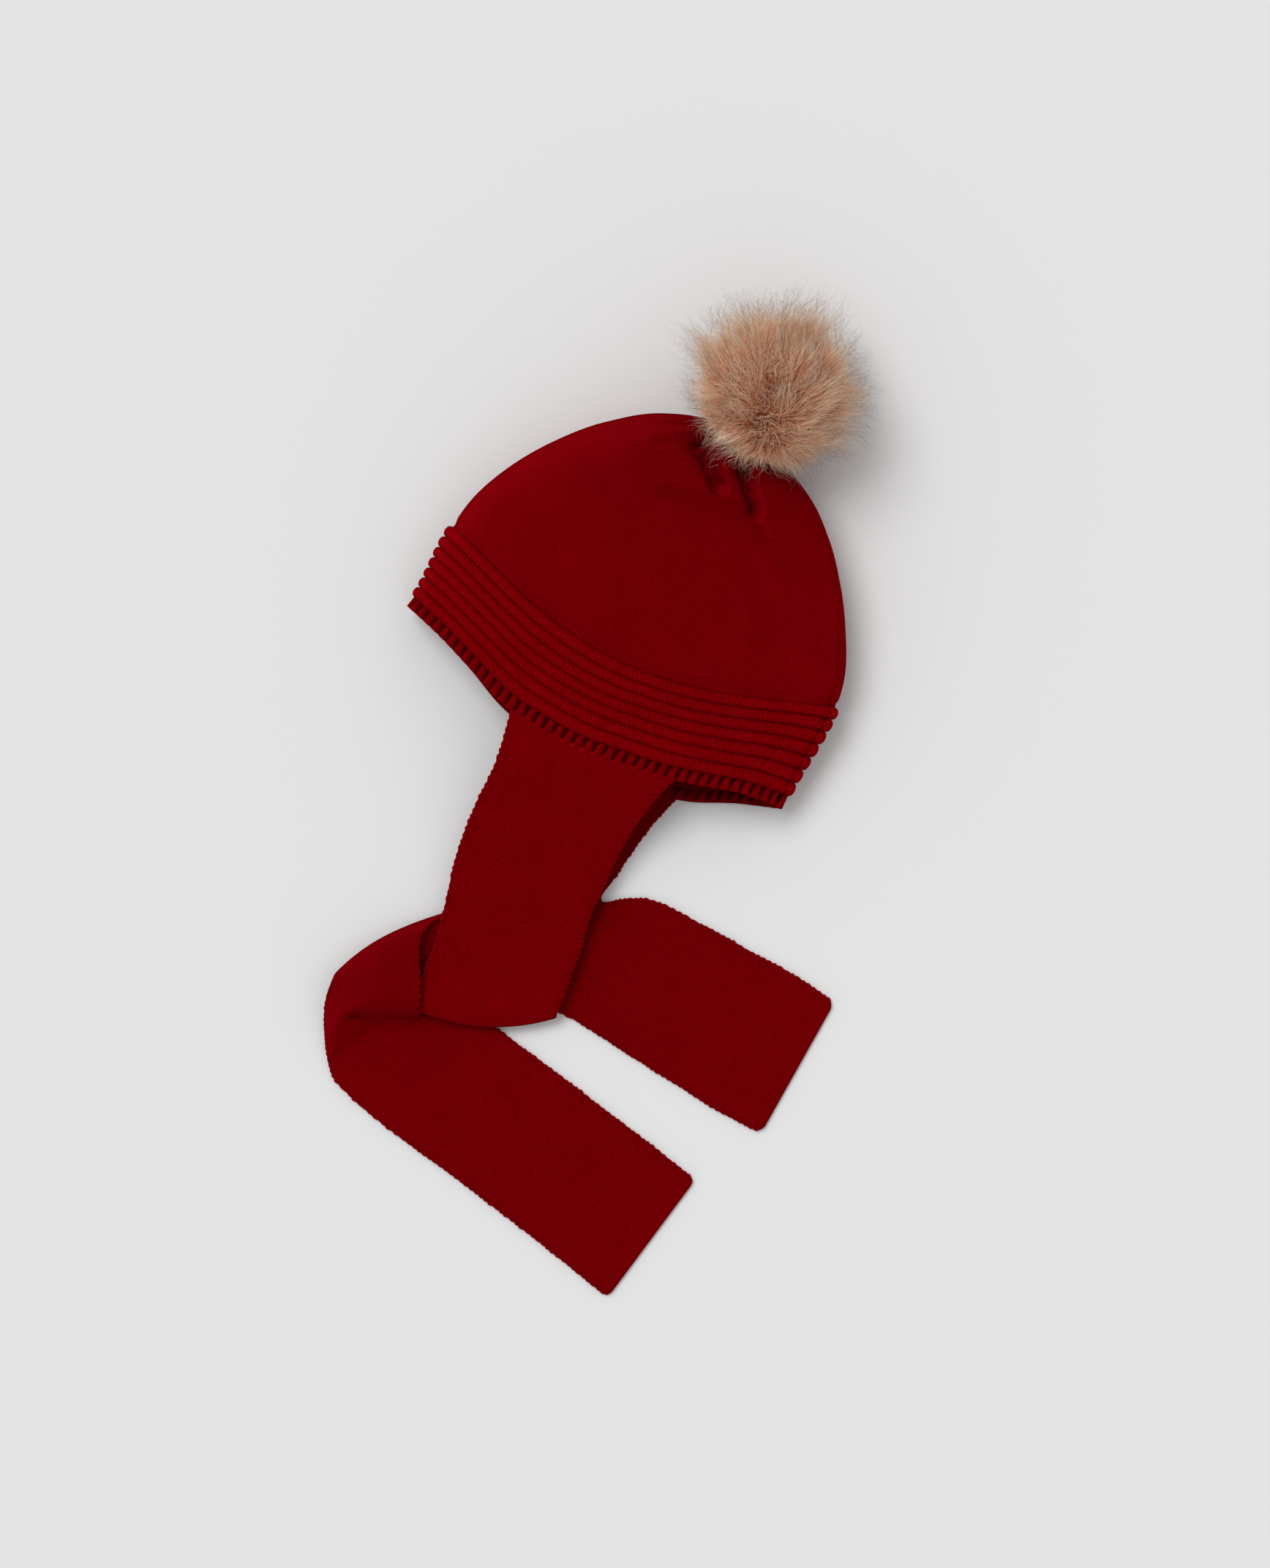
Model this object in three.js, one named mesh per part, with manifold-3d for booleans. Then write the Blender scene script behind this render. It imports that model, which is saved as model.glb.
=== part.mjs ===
// A toddler's knitted hat with a fur pompom, two wide ear flaps and the scarf ties they run into.
// It lies on its right side. Millimetres, +Z up. The forehead points to -X, the nape to +X and
// the gathered top to +Y. The origin is on the floor, under the middle of the crown.
import * as THREE from "three";
import { mergeVertices } from "three/addons/utils/BufferGeometryUtils.js";
import Module from "manifold-3d";

const wasm = await Module();
wasm.setup();

// Driving dimensions
const CROWN_WALL = 2.6;
const BAND_WALL = 2.4;
const TIE_THICKNESS = 2.8;
const PIECE_GAP = 0.35;
const FLAP_GAP = 0.8;
const WELTS = 7;
const WELT_RISE = 1.9;
const RIB_COUNT = 84;
const RIB_RISE = 0.8;
const GATHERS = 11;
const GATHER_DEPTH = 1.6;
const POMPOM_RADIUS = 37;
const LOCK_COUNT = 80;
const LOCK_REACH = 9;
const LOCK_ROOT = 6;
const LOCK_WIDTH = 20;
const POMPOM_CENTRE = new THREE.Vector3(6.1, 166, 39.5);
const ORIGIN_HEIGHT = 88; // the origin's distance above the rim's chord

// Colours of the finished pieces
const KNIT_RED = 0x78000a;
const FUR_TAN = 0xc19574;

// The hat's rows, each at a length of knit above the rim. A row's ends lie on the forehead and nape
// folds, at x and at the height above the rim's chord, and its middle dips below them. Top, fold
// and under are the heights above the floor of its upper side, its folded edges and its under side.
const HAT_ROWS = [
  { at: 0, front: -98.2, frontUp: 0, back: 99.0, backUp: 0, dip: 21.1, far: 1, top: 35, fold: 14, under: 0.8 },
  { at: 6, front: -97.4, frontUp: 5.3, back: 98.6, backUp: 6.7, dip: 20.4, far: 1, top: 36.5, fold: 14.5, under: 0.8 },
  { at: 47, front: -97.4, frontUp: 42.2, back: 98.8, backUp: 53, dip: 23.5, far: 0.9, top: 43.5, fold: 17, under: 1.2 },
  { at: 65, front: -94.6, frontUp: 60, back: 95.2, backUp: 68, dip: 21, far: 0.7, top: 48.5, fold: 19, under: 0 },
  { at: 86, front: -86, frontUp: 81, back: 87, backUp: 84, dip: 15.5, far: 0.5, top: 51, fold: 20.5, under: 0 },
  { at: 109, front: -72.4, frontUp: 102, back: 74, backUp: 103, dip: 10, far: 0.3, top: 51.5, fold: 22, under: 0 },
  { at: 129, front: -57, frontUp: 119.5, back: 58.4, backUp: 120, dip: 6, far: 0.1, top: 48.5, fold: 24, under: 0 },
  { at: 146, front: -39.5, frontUp: 133, back: 40.5, backUp: 133, dip: 3, far: 0, top: 43.5, fold: 27, under: 6 },
  { at: 159, front: -20, frontUp: 141, back: 20, backUp: 141, dip: 1, far: 0, top: 38, fold: 30, under: 20 },
  { at: 170, front: -2, frontUp: 144.5, back: 2, backUp: 144.5, dip: 0, far: 0, top: 33, fold: 32, under: 31 },
];
const RIM = HAT_ROWS[0].at;
const BAND_START = HAT_ROWS[1].at;
const CROWN_START = HAT_ROWS[2].at;
const TIP = HAT_ROWS[9].at;
const GATHERS_START = HAT_ROWS[5].at;
const INNER_TIP = TIP - 6;
const CROWN_STEPS = 18;
const CROWN_COLUMNS = 46;
const BAND_COLUMNS = 44;

// How a row dips across the hat, from the forehead fold at -1 to the nape fold at 1: the rim's
// share of its dip, and how many millimetres lower the far side's rim lies.
const RIM_DIPS = [
  { at: -1, share: 0, farther: 0 },
  { at: -0.8, share: 0.24, farther: 0 },
  { at: -0.6, share: 0.55, farther: 0.2 },
  { at: -0.4, share: 0.88, farther: 1.2 },
  { at: -0.2, share: 0.99, farther: 3 },
  { at: 0, share: 1, farther: 5 },
  { at: 0.2, share: 0.85, farther: 7.2 },
  { at: 0.4, share: 0.69, farther: 8.6 },
  { at: 0.6, share: 0.42, farther: 8.6 },
  { at: 0.8, share: 0.12, farther: 5.2 },
  { at: 1, share: 0, farther: 0 },
];
const ROW_DIP_POWER = 1.3;

// Creases pressed into the upper side of the crown, each along a line in x and height.
const CREASES = [
  { x0: -14, y0: 128, x1: 1.8, y1: 115, depth: 5, width: 4.5 },
  { x0: 7, y0: 129, x1: 20.9, y1: 113, depth: 5, width: 4.5 },
  { x0: -23.2, y0: 99.4, x1: 13.8, y1: 109.8, depth: 1.8, width: 5 },
  { x0: 22.5, y0: 111.4, x1: 49.3, y1: 94.2, depth: 2.2, width: 6 },
  { x0: 37.8, y0: 80.3, x1: 51.1, y1: 55.8, depth: 1.2, width: 7 },
  { x0: 60.8, y0: 95.8, x1: 77.3, y1: 65.3, depth: 1.2, width: 7 },
];

// Where the ear flaps leave the rim, as shares of the way across the hat.
const NEAR_FLAP = { from: -0.34, to: 0.5 };
const FAR_FLAP = { from: -0.28, to: 0.55 };

// Near tie: both selvedges' places and heights (middle of the knit), the arch of the strip between
// them and how far its middle runs ahead. It drapes over the far tie, turns under at the bottom
// fold, goes back up behind itself, comes forward over the top fold and bends into its tail.
const NEAR_TIE = [
  { lx: -33.3, ly: -20.2, lz: 32, rx: 49.5, ry: -13.2, rz: 31, arch: 1.5, bow: 0 },
  { lx: -28.1, ly: -43.3, lz: 26, rx: 45.2, ry: -28.7, rz: 25, arch: 1.5, bow: 0 },
  { lx: -26.6, ly: -67.6, lz: 18, rx: 43.2, ry: -47.2, rz: 17, arch: 1, bow: 0 },
  { lx: -23.0, ly: -92.7, lz: 11.5, rx: 44.1, ry: -68.7, rz: 11.5, arch: 0.5, bow: 0 },
  { lx: -16.4, ly: -116.2, lz: 9.8, rx: 45.4, ry: -85.4, rz: 9.5, arch: 0, bow: 0 },
  { lx: -12.3, ly: -135.3, lz: 9.2, rx: 48.9, ry: -103.3, rz: 9.2, arch: 0, bow: 0 },
  { lx: -8.3, ly: -150.5, lz: 8.6, rx: 51.2, ry: -118.3, rz: 9, arch: 0, bow: 3 },
  { lx: -5.5, ly: -157.1, lz: 8.6, rx: 52.6, ry: -130.2, rz: 9.3, arch: 0, bow: 6 },
  { lx: -4.8, ly: -159.1, lz: 6.9, rx: 53.1, ry: -133.9, rz: 7.3, arch: 0, bow: 6 },
  { lx: -5.2, ly: -156.9, lz: 5.2, rx: 51.8, ry: -130.7, rz: 5.3, arch: 0, bow: 6 },
  { lx: -11.0, ly: -154.7, lz: 4.9, rx: 42.8, ry: -117.0, rz: 4.9, arch: 0, bow: 0 },
  { lx: -20.0, ly: -159.6, lz: 4.7, rx: 24.4, ry: -104.5, rz: 4.7, arch: 0, bow: 0 },
  { lx: -31.0, ly: -162.3, lz: 4.8, rx: 3.5, ry: -105.8, rz: 4.8, arch: 0, bow: -2 },
  { lx: -41.5, ly: -165.4, lz: 5, rx: -12.1, ry: -113.8, rz: 4.8, arch: 0, bow: -5 },
  { lx: -46.2, ly: -168.8, lz: 7.5, rx: -18, ry: -119.5, rz: 6.6, arch: 0, bow: -5.5 },
  { lx: -45.9, ly: -170.6, lz: 9.5, rx: -19.2, ry: -124.4, rz: 8.8, arch: 1, bow: -5 },
  { lx: -45.4, ly: -173.6, lz: 9.5, rx: -19.6, ry: -129.4, rz: 11, arch: 2, bow: -4 },
  { lx: -43.9, ly: -179.6, lz: 7.5, rx: -18.6, ry: -134.6, rz: 12.8, arch: 4, bow: -2 },
  { lx: -41.3, ly: -186.4, lz: 5, rx: -14.5, ry: -141.9, rz: 13.4, arch: 5, bow: -2 },
  { lx: -37.8, ly: -192.4, lz: 3.5, rx: -8.4, ry: -151.6, rz: 13.2, arch: 5.5, bow: -4 },
  { lx: -34.9, ly: -197.0, lz: 2.5, rx: -4.8, ry: -159.3, rz: 12.6, arch: 4.5, bow: -7 },
  { lx: -31.7, ly: -201.5, lz: 1.8, rx: -1.6, ry: -163.6, rz: 7.8, arch: 2.5, bow: -8 },
  { lx: -28.8, ly: -205.4, lz: 1.5, rx: 2.4, ry: -161.6, rz: 2.3, arch: 0.5, bow: -7 },
  { lx: -24.4, ly: -209.2, lz: 1.4, rx: 7, ry: -157.2, rz: 1.4, arch: 0, bow: -4 },
  { lx: -10.3, ly: -213.9, lz: 1.4, rx: 14, ry: -153.2, rz: 1.4, arch: 0, bow: 0 },
  { lx: 13.0, ly: -218.3, lz: 1.4, rx: 24.5, ry: -151.7, rz: 1.4, arch: 0, bow: 0 },
  { lx: 41.4, ly: -222.2, lz: 1.4, rx: 51.0, ry: -155.1, rz: 1.4, arch: 0, bow: 0 },
  { lx: 85.8, ly: -229.1, lz: 1.4, rx: 95.7, ry: -161.8, rz: 1.4, arch: 0, bow: 0 },
  { lx: 136.4, ly: -238.3, lz: 1.4, rx: 146.2, ry: -170.0, rz: 1.4, arch: 0, bow: 0 },
];
// Far tie, flat on the floor: it turns to the right under the near tie and ends in the short tail.
const FAR_TIE = [
  { lx: -27.9, ly: -24.6, rx: 54.5, ry: -20.9 },
  { lx: -22.1, ly: -45.8, rx: 50.5, ry: -35.1 },
  { lx: -19.0, ly: -67.3, rx: 47.9, ry: -52.3 },
  { lx: -14.8, ly: -84.4, rx: 46.3, ry: -67.9 },
  { lx: -9.6, ly: -101.0, rx: 45.2, ry: -73.7 },
  { lx: -0.5, ly: -114.2, rx: 45.5, ry: -75.9 },
  { lx: 12.0, ly: -124.4, rx: 46.3, ry: -77.0 },
  { lx: 28.0, ly: -131.2, rx: 47.6, ry: -77.0 },
  { lx: 42.4, ly: -132.7, rx: 49.6, ry: -75.6 },
  { lx: 53.8, ly: -132.3, rx: 53.2, ry: -72.4 },
  { lx: 73.4, ly: -132.9, rx: 66.0, ry: -65.7 },
  { lx: 91.7, ly: -134.5, rx: 90.0, ry: -64.3 },
  { lx: 117.7, ly: -136.0, rx: 118.0, ry: -64.6 },
  { lx: 141.7, ly: -137.6, rx: 142.8, ry: -64.7 },
  { lx: 162.7, ly: -137.0, rx: 163.7, ry: -66.9 },
].map((row) => ({ ...row, lz: TIE_THICKNESS / 2, rz: TIE_THICKNESS / 2, arch: 0, bow: 0 }));
const RIM_BLEND = 50; // length over which a flap leaves the rim's curve
const TIE_COLUMNS = 6;
const TIE_STEP = 7;
const TIE_MOST_STEPS = 4;

// The value of one column of a table, on a smooth curve through its rows.
function smooth(table, column, at) {
  let row = 0;
  while (row < table.length - 2 && table[row + 1].at <= at) row++;
  const slope = (i) => {
    const rise = (k) => (table[k + 1][column] - table[k][column]) / (table[k + 1].at - table[k].at);
    if (i === 0) return rise(0);
    if (i === table.length - 1) return rise(i - 1);
    const before = table[i].at - table[i - 1].at;
    const after = table[i + 1].at - table[i].at;
    return (rise(i) * before + rise(i - 1) * after) / (before + after);
  };
  const [a, b] = [table[row], table[row + 1]];
  const span = b.at - a.at;
  const t = (at - a.at) / span;
  const bend = t * t * (3 - 2 * t);
  const leave = t * (1 - t) * (1 - t);
  const arrive = t * t * (t - 1);
  return mix(a[column], b[column], bend) + span * (slope(row) * leave + slope(row + 1) * arrive);
}

const mix = THREE.MathUtils.lerp;
const ease = THREE.MathUtils.smoothstep;

// A tie's table with each row's distance along the strip.
function withLengths(rows) {
  let at = 0;
  return rows.map((row, i) => {
    const last = rows[Math.max(i - 1, 0)];
    const left = Math.hypot(row.lx - last.lx, row.ly - last.ly, row.lz - last.lz);
    const right = Math.hypot(row.rx - last.rx, row.ry - last.ry, row.rz - last.rz);
    at += (left + right) / 2;
    return { ...row, at };
  });
}

// How far a point is pressed down by the creases.
function creaseDepth(x, y) {
  return CREASES.reduce((sum, crease) => {
    const dx = crease.x1 - crease.x0;
    const dy = crease.y1 - crease.y0;
    const along = ((x - crease.x0) * dx + (y - crease.y0) * dy) / (dx * dx + dy * dy);
    const t = Math.min(Math.max(along, 0), 1);
    const distance = Math.hypot(x - crease.x0 - dx * t, y - crease.y0 - dy * t);
    return sum + crease.depth * Math.exp(-((distance / crease.width) ** 2));
  }, 0);
}

// A point of the hat's outer face at a row, turned about the hat's axis: 0 is the forehead fold, a
// quarter turn the middle of the near side, half a turn the nape fold, the rest the under side.
function hatPoint(row, turn) {
  const at = (column) => smooth(HAT_ROWS, column, row);
  const across = -Math.cos(turn);
  const side = Math.sin(turn);
  const share = (across + 1) / 2;
  const rimShare = smooth(RIM_DIPS, "share", across);
  const rowShare = Math.max(0, 1 - across * across) ** ROW_DIP_POWER;
  const dipShare = mix(rimShare, rowShare, Math.min(row / CROWN_START, 1));
  const farther = smooth(RIM_DIPS, "farther", across) * at("far");
  const x = mix(at("front"), at("back"), share);
  const y = mix(at("frontUp"), at("backUp"), share) - at("dip") * dipShare - (side < 0 ? farther : 0);
  if (side < 0) {
    const flatShare = Math.min(1, -side / 0.5);
    const z = mix(at("fold"), at("under"), Math.sin((flatShare * Math.PI) / 2));
    return new THREE.Vector3(x, y, Math.max(z, 0));
  }
  const rise = (at("top") - at("fold")) * side ** 0.85;
  const pressed = creaseDepth(x, y) * ease(side, 0, 0.4);
  return new THREE.Vector3(x, y, at("fold") + rise - pressed);
}

// The outward direction of the hat's outer face.
function hatOutward(row, turn) {
  const rowStep = 0.5;
  const turnStep = 0.01;
  const along = hatPoint(Math.min(row + rowStep, TIP), turn).sub(hatPoint(Math.max(row - rowStep, RIM), turn));
  const round = hatPoint(row, turn + turnStep).sub(hatPoint(row, turn - turnStep));
  return round.cross(along).normalize();
}

// A point of the hat at a distance outside (or, below zero, inside) its outer face.
function hatOffset(row, turn, distance) {
  const point = hatPoint(row, turn).addScaledVector(hatOutward(row, turn), distance);
  point.z = Math.max(point.z, 0);
  return point;
}

// The rows between two rows, in even steps.
function rowsBetween(from, to, steps) {
  return Array.from({ length: steps + 1 }, (_, i) => mix(from, to, i / steps));
}

// Turns spaced evenly by length round one row.
function evenTurns(count, row) {
  const fine = 720;
  const lengths = [0];
  for (let i = 1; i <= fine; i++) {
    const a = hatPoint(row, (2 * Math.PI * (i - 1)) / fine);
    const b = hatPoint(row, (2 * Math.PI * i) / fine);
    lengths.push(lengths[i - 1] + a.distanceTo(b));
  }
  const turns = [];
  let i = 0;
  for (let k = 0; k < count; k++) {
    const target = (lengths[fine] * k) / count;
    while (lengths[i + 1] < target) i++;
    const part = (target - lengths[i]) / (lengths[i + 1] - lengths[i]);
    turns.push((2 * Math.PI * (i + part)) / fine);
  }
  return turns;
}

// A closed geometry from points and triangles.
function geometryOf(points, triangles) {
  const geometry = new THREE.BufferGeometry();
  geometry.setAttribute("position", new THREE.Float32BufferAttribute(points.flatMap((p) => p.toArray()), 3));
  geometry.setIndex(triangles);
  geometry.computeVertexNormals();
  return geometry;
}

// Joins rings of equal length into a skin: each ring's points to the next ring's.
function joinRings(rings, closedLoop) {
  const count = rings[0].length;
  const triangles = [];
  const pairs = closedLoop ? rings.length : rings.length - 1;
  for (let r = 0; r < pairs; r++) {
    const next = (r + 1) % rings.length;
    for (let c = 0; c < count; c++) {
      const a = r * count + c;
      const b = r * count + ((c + 1) % count);
      const d = next * count + c;
      const e = next * count + ((c + 1) % count);
      triangles.push(a, b, e, a, e, d);
    }
  }
  return triangles;
}

// A wall whose last ring joins its first.
function loopedSkin(rings) {
  return geometryOf(rings.flat(), joinRings(rings, true));
}

// A dome's skin, whose first and last rings are small and close on a point in their middle.
function domedSkin(rings) {
  const count = rings[0].length;
  const points = rings.flat();
  const triangles = joinRings(rings, false);
  const last = (rings.length - 1) * count;
  for (const start of [0, last]) {
    const ring = points.slice(start, start + count);
    const hub = ring.reduce((sum, point) => sum.add(point), new THREE.Vector3()).divideScalar(count);
    const middle = points.push(hub) - 1;
    for (let c = 0; c < count; c++) {
      const a = start + c;
      const b = start + ((c + 1) % count);
      triangles.push(...(start === last ? [a, b, middle] : [b, a, middle]));
    }
  }
  return geometryOf(points, triangles);
}

// A strip's skin. Each ring runs along its under side and back along its upper side, and the two
// ends are closed straight across the thickness.
function stripSkin(rings) {
  const count = rings[0].length;
  const triangles = joinRings(rings, false);
  const last = (rings.length - 1) * count;
  for (let c = 0; c < count / 2 - 1; c++) {
    const [under, underNext] = [c, c + 1];
    const [over, overNext] = [count - 1 - c, count - 2 - c];
    triangles.push(underNext, under, over, underNext, over, overNext);
    triangles.push(last + under, last + underNext, last + over);
    triangles.push(last + underNext, last + overNext, last + over);
  }
  return geometryOf(rings.flat(), triangles);
}

// A band of the hat between two rows: an outer face with its relief, and a plain inner face.
function hatWall(outerRows, innerRows, turns, relief, wall) {
  const outer = outerRows.map((row) => turns.map((turn, i) => hatOffset(row, turn, relief(row, turn, i))));
  const inner = innerRows.map((row) => turns.map((turn) => hatOffset(row, turn, -wall)));
  return loopedSkin([...outer, ...inner.reverse()]);
}

// The gathers that run down from the tip.
function gatherRelief(row, turn) {
  const grown = ease(row, GATHERS_START, INNER_TIP) * (1 - ease(row, INNER_TIP, TIP));
  return -GATHER_DEPTH * grown * (0.5 + 0.5 * Math.cos(GATHERS * turn));
}

// The crown's outer face, or a face at a distance outside it.
function crownFace(turns, distance) {
  return rowsBetween(CROWN_START + PIECE_GAP, TIP, CROWN_STEPS).map((row) =>
    turns.map((turn) => hatOffset(row, turn, gatherRelief(row, turn) + distance)),
  );
}

// The crown's wall: inner face from the tip down, outer face back up, both closed at the tip.
function makeCrown() {
  const turns = evenTurns(CROWN_COLUMNS, CROWN_START);
  const inner = rowsBetween(CROWN_START + PIECE_GAP, INNER_TIP, CROWN_STEPS / 2).map((row) =>
    turns.map((turn) => hatOffset(row, turn, -CROWN_WALL)),
  );
  return domedSkin([...inner.reverse(), ...crownFace(turns, 0)]);
}

// The rolled purl welts.
function weltRelief(row) {
  const share = (row - BAND_START) / (CROWN_START - BAND_START);
  return WELT_RISE * Math.abs(Math.sin(Math.PI * WELTS * share)) ** 0.7;
}

function makeBand() {
  const turns = evenTurns(BAND_COLUMNS, (BAND_START + CROWN_START) / 2);
  const from = BAND_START + PIECE_GAP;
  const outer = rowsBetween(from, CROWN_START, WELTS * 3);
  const inner = rowsBetween(from, CROWN_START, 4);
  return hatWall(outer, inner, turns, weltRelief, BAND_WALL);
}

// The ribbed rim: every second turn is the crest of a rib.
function makeEdging() {
  const turns = evenTurns(RIB_COUNT * 2, (RIM + BAND_START) / 2);
  const ribRelief = (row, turn, i) => (i % 2 ? RIB_RISE : 0) * (1 - (0.5 * row) / BAND_START);
  return hatWall(rowsBetween(RIM, BAND_START, 2), rowsBetween(RIM, BAND_START, 1), turns, ribRelief, BAND_WALL);
}

// The middle of the rim's wall under a flap, at a share across the flap from -1 to 1.
function flapRoot(flap, share, upper) {
  const across = mix(flap.from, flap.to, (share + 1) / 2);
  const turn = upper ? Math.acos(-across) : 2 * Math.PI - Math.acos(-across);
  const point = hatOffset(RIM, turn, -BAND_WALL / 2);
  const away = hatPoint(RIM, turn).sub(hatPoint(RIM + 1, turn)).normalize();
  point.addScaledVector(away, FLAP_GAP);
  if (!upper) point.z = TIE_THICKNESS / 2;
  return point;
}

// The middle surface of a tie at a length along it and a share across it from -1 to 1.
function tiePoint(table, flap, upper, length, share) {
  const at = (column, where = length) => smooth(table, column, where);
  const edges = (where) => [
    new THREE.Vector3(at("lx", where), at("ly", where), at("lz", where)),
    new THREE.Vector3(at("rx", where), at("ry", where), at("rz", where)),
  ];
  const [left, right] = edges(length);
  const point = left.clone().lerp(right, (share + 1) / 2);
  const middle = 1 - share * share;
  const ahead = new THREE.Vector3(right.y - left.y, left.x - right.x, 0).normalize();
  point.addScaledVector(ahead, at("bow") * middle);
  point.z += at("arch") * middle;
  if (length >= RIM_BLEND) return point;
  const [rootLeft, rootRight] = edges(0);
  const straight = rootLeft.lerp(rootRight, (share + 1) / 2);
  straight.z += smooth(table, "arch", 0) * middle;
  const fade = 1 - ease(length, 0, RIM_BLEND);
  return point.addScaledVector(flapRoot(flap, share, upper).sub(straight), fade);
}

// A tie: a strip of even thickness on both sides of its middle surface.
function makeTie(rows, flap, upper) {
  const table = withLengths(rows);
  const middle = (length, share) => tiePoint(table, flap, upper, length, share);
  const end = table[table.length - 1].at;
  const lengths = [0];
  table.slice(1).forEach((row, i) => {
    const steps = Math.max(1, Math.min(TIE_MOST_STEPS, Math.round((row.at - table[i].at) / TIE_STEP)));
    lengths.push(...rowsBetween(table[i].at, row.at, steps).slice(1));
  });
  const shares = rowsBetween(-1, 1, TIE_COLUMNS);
  const offset = (length, share, distance) => {
    const ahead = middle(Math.min(length + 0.5, end), share);
    const along = ahead.sub(middle(Math.max(length - 0.5, 0), share));
    const beside = middle(length, Math.min(share + 0.02, 1));
    const across = beside.sub(middle(length, Math.max(share - 0.02, -1)));
    const point = middle(length, share).addScaledVector(along.cross(across).normalize(), distance);
    point.z = Math.max(point.z, 0);
    return point;
  };
  const half = TIE_THICKNESS / 2;
  const rings = lengths.map((length) => [
    ...shares.map((share) => offset(length, share, -half)),
    ...shares.map((share) => offset(length, -share, half)),
  ]);
  return stripSkin(rings);
}

// A three.js geometry as a manifold solid, and back.
function solidOf(geometry) {
  const bare = geometry.clone();
  bare.deleteAttribute("normal");
  bare.deleteAttribute("uv");
  const merged = mergeVertices(bare, 1e-4);
  const mesh = new wasm.Mesh({
    numProp: 3,
    vertProperties: merged.attributes.position.array,
    triVerts: new Uint32Array(merged.index.array),
  });
  return new wasm.Manifold(mesh);
}

function geometryFrom(solid) {
  const mesh = solid.getMesh();
  const geometry = new THREE.BufferGeometry();
  geometry.setAttribute("position", new THREE.BufferAttribute(new Float32Array(mesh.vertProperties), 3));
  geometry.setIndex(new THREE.BufferAttribute(new Uint32Array(mesh.triVerts), 1));
  geometry.computeVertexNormals();
  return geometry;
}

// The pompom: fur locks fused to a ball, cut clear of the crown that it is sewn to and of the floor.
function makePompom() {
  const core = new THREE.IcosahedronGeometry(POMPOM_RADIUS, 3);
  let ball = solidOf(core);
  const golden = Math.PI * (3 - Math.sqrt(5));
  const up = new THREE.Vector3(0, 1, 0);
  for (let i = 0; i < LOCK_COUNT; i++) {
    const height = 1 - (2 * i + 1) / LOCK_COUNT;
    const ring = Math.sqrt(1 - height * height);
    const direction = new THREE.Vector3(ring * Math.cos(golden * i), ring * Math.sin(golden * i), height);
    const reach = LOCK_REACH * (0.75 + 0.25 * Math.sin(2.4 * i));
    const lock = new THREE.ConeGeometry(LOCK_WIDTH / 2, LOCK_ROOT + reach, 5);
    lock.translate(0, POMPOM_RADIUS + (reach - LOCK_ROOT) / 2, 0);
    lock.applyQuaternion(new THREE.Quaternion().setFromUnitVectors(up, direction));
    ball = ball.add(solidOf(lock));
  }
  const turns = evenTurns(CROWN_COLUMNS, CROWN_START);
  const crownSpace = solidOf(domedSkin(crownFace(turns, 2 * PIECE_GAP)));
  const placed = solidOf(geometryFrom(ball).translate(POMPOM_CENTRE.x, POMPOM_CENTRE.y, POMPOM_CENTRE.z));
  const floor = new THREE.BoxGeometry(200, 200, 100).translate(POMPOM_CENTRE.x, POMPOM_CENTRE.y, -50);
  const clear = placed.subtract(crownSpace).subtract(solidOf(floor));
  const pieces = clear.decompose().sort((a, b) => b.volume() - a.volume());
  return geometryFrom(pieces[0]);
}

function knitMaterial(color) {
  return new THREE.MeshStandardMaterial({ color, roughness: 0.95, metalness: 0 });
}

function addPiece(group, name, geometry, color) {
  const mesh = new THREE.Mesh(geometry, knitMaterial(color));
  mesh.name = name;
  group.add(mesh);
}

const hat = new THREE.Group();
hat.position.y = -ORIGIN_HEIGHT;
addPiece(hat, "crown", makeCrown(), KNIT_RED);
addPiece(hat, "welt_band", makeBand(), KNIT_RED);
addPiece(hat, "brim_edging", makeEdging(), KNIT_RED);
addPiece(hat, "tie_left", makeTie(NEAR_TIE, NEAR_FLAP, true), KNIT_RED);
addPiece(hat, "tie_right", makeTie(FAR_TIE, FAR_FLAP, false), KNIT_RED);
addPiece(hat, "pompom", makePompom(), FUR_TAN);

export default hat;
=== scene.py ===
import bmesh
import bpy
import numpy as np
from mathutils import Matrix, Vector
from mathutils.bvhtree import BVHTree


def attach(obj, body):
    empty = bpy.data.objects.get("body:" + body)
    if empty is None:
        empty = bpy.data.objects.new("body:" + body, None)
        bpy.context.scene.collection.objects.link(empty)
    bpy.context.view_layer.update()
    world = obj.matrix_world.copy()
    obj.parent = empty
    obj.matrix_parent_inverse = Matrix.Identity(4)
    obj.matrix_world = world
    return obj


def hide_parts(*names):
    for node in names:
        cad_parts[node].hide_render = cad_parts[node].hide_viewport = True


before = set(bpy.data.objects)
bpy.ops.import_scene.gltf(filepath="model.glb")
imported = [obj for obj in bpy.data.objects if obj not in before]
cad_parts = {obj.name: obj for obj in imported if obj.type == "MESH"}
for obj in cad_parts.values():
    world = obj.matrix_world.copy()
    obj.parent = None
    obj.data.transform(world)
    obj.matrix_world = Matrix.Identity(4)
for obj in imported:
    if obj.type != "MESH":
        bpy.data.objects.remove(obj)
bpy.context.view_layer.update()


def columns(names, rows):
    """A table as one array for each named column."""
    return dict(zip(names.split(), np.array(rows, dtype=float).T))


# Driving sizes in millimetres, with the hat's layout as in the part
ORIGIN_HEIGHT = 88
WALL = 2.2
SEAM_OVERLAP = 0.5
ROW_DIP_POWER = 1.3
DOME_POWER = 0.85
SLACK = 0.45
GATHERS = 11
GATHER_DEPTH = 1.6
GATHERS_START = 109
GATHERS_CLOSE = 6
SEAM_DIP = 0.8
WELTS = 7
WELT_RISE = 1.9
WELT_ROUNDNESS = 0.45
FLATTENING = 0.45
RIBS = 86
RIB_DEPTH = 1.9
EDGING_LIFT = 0.1

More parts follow.
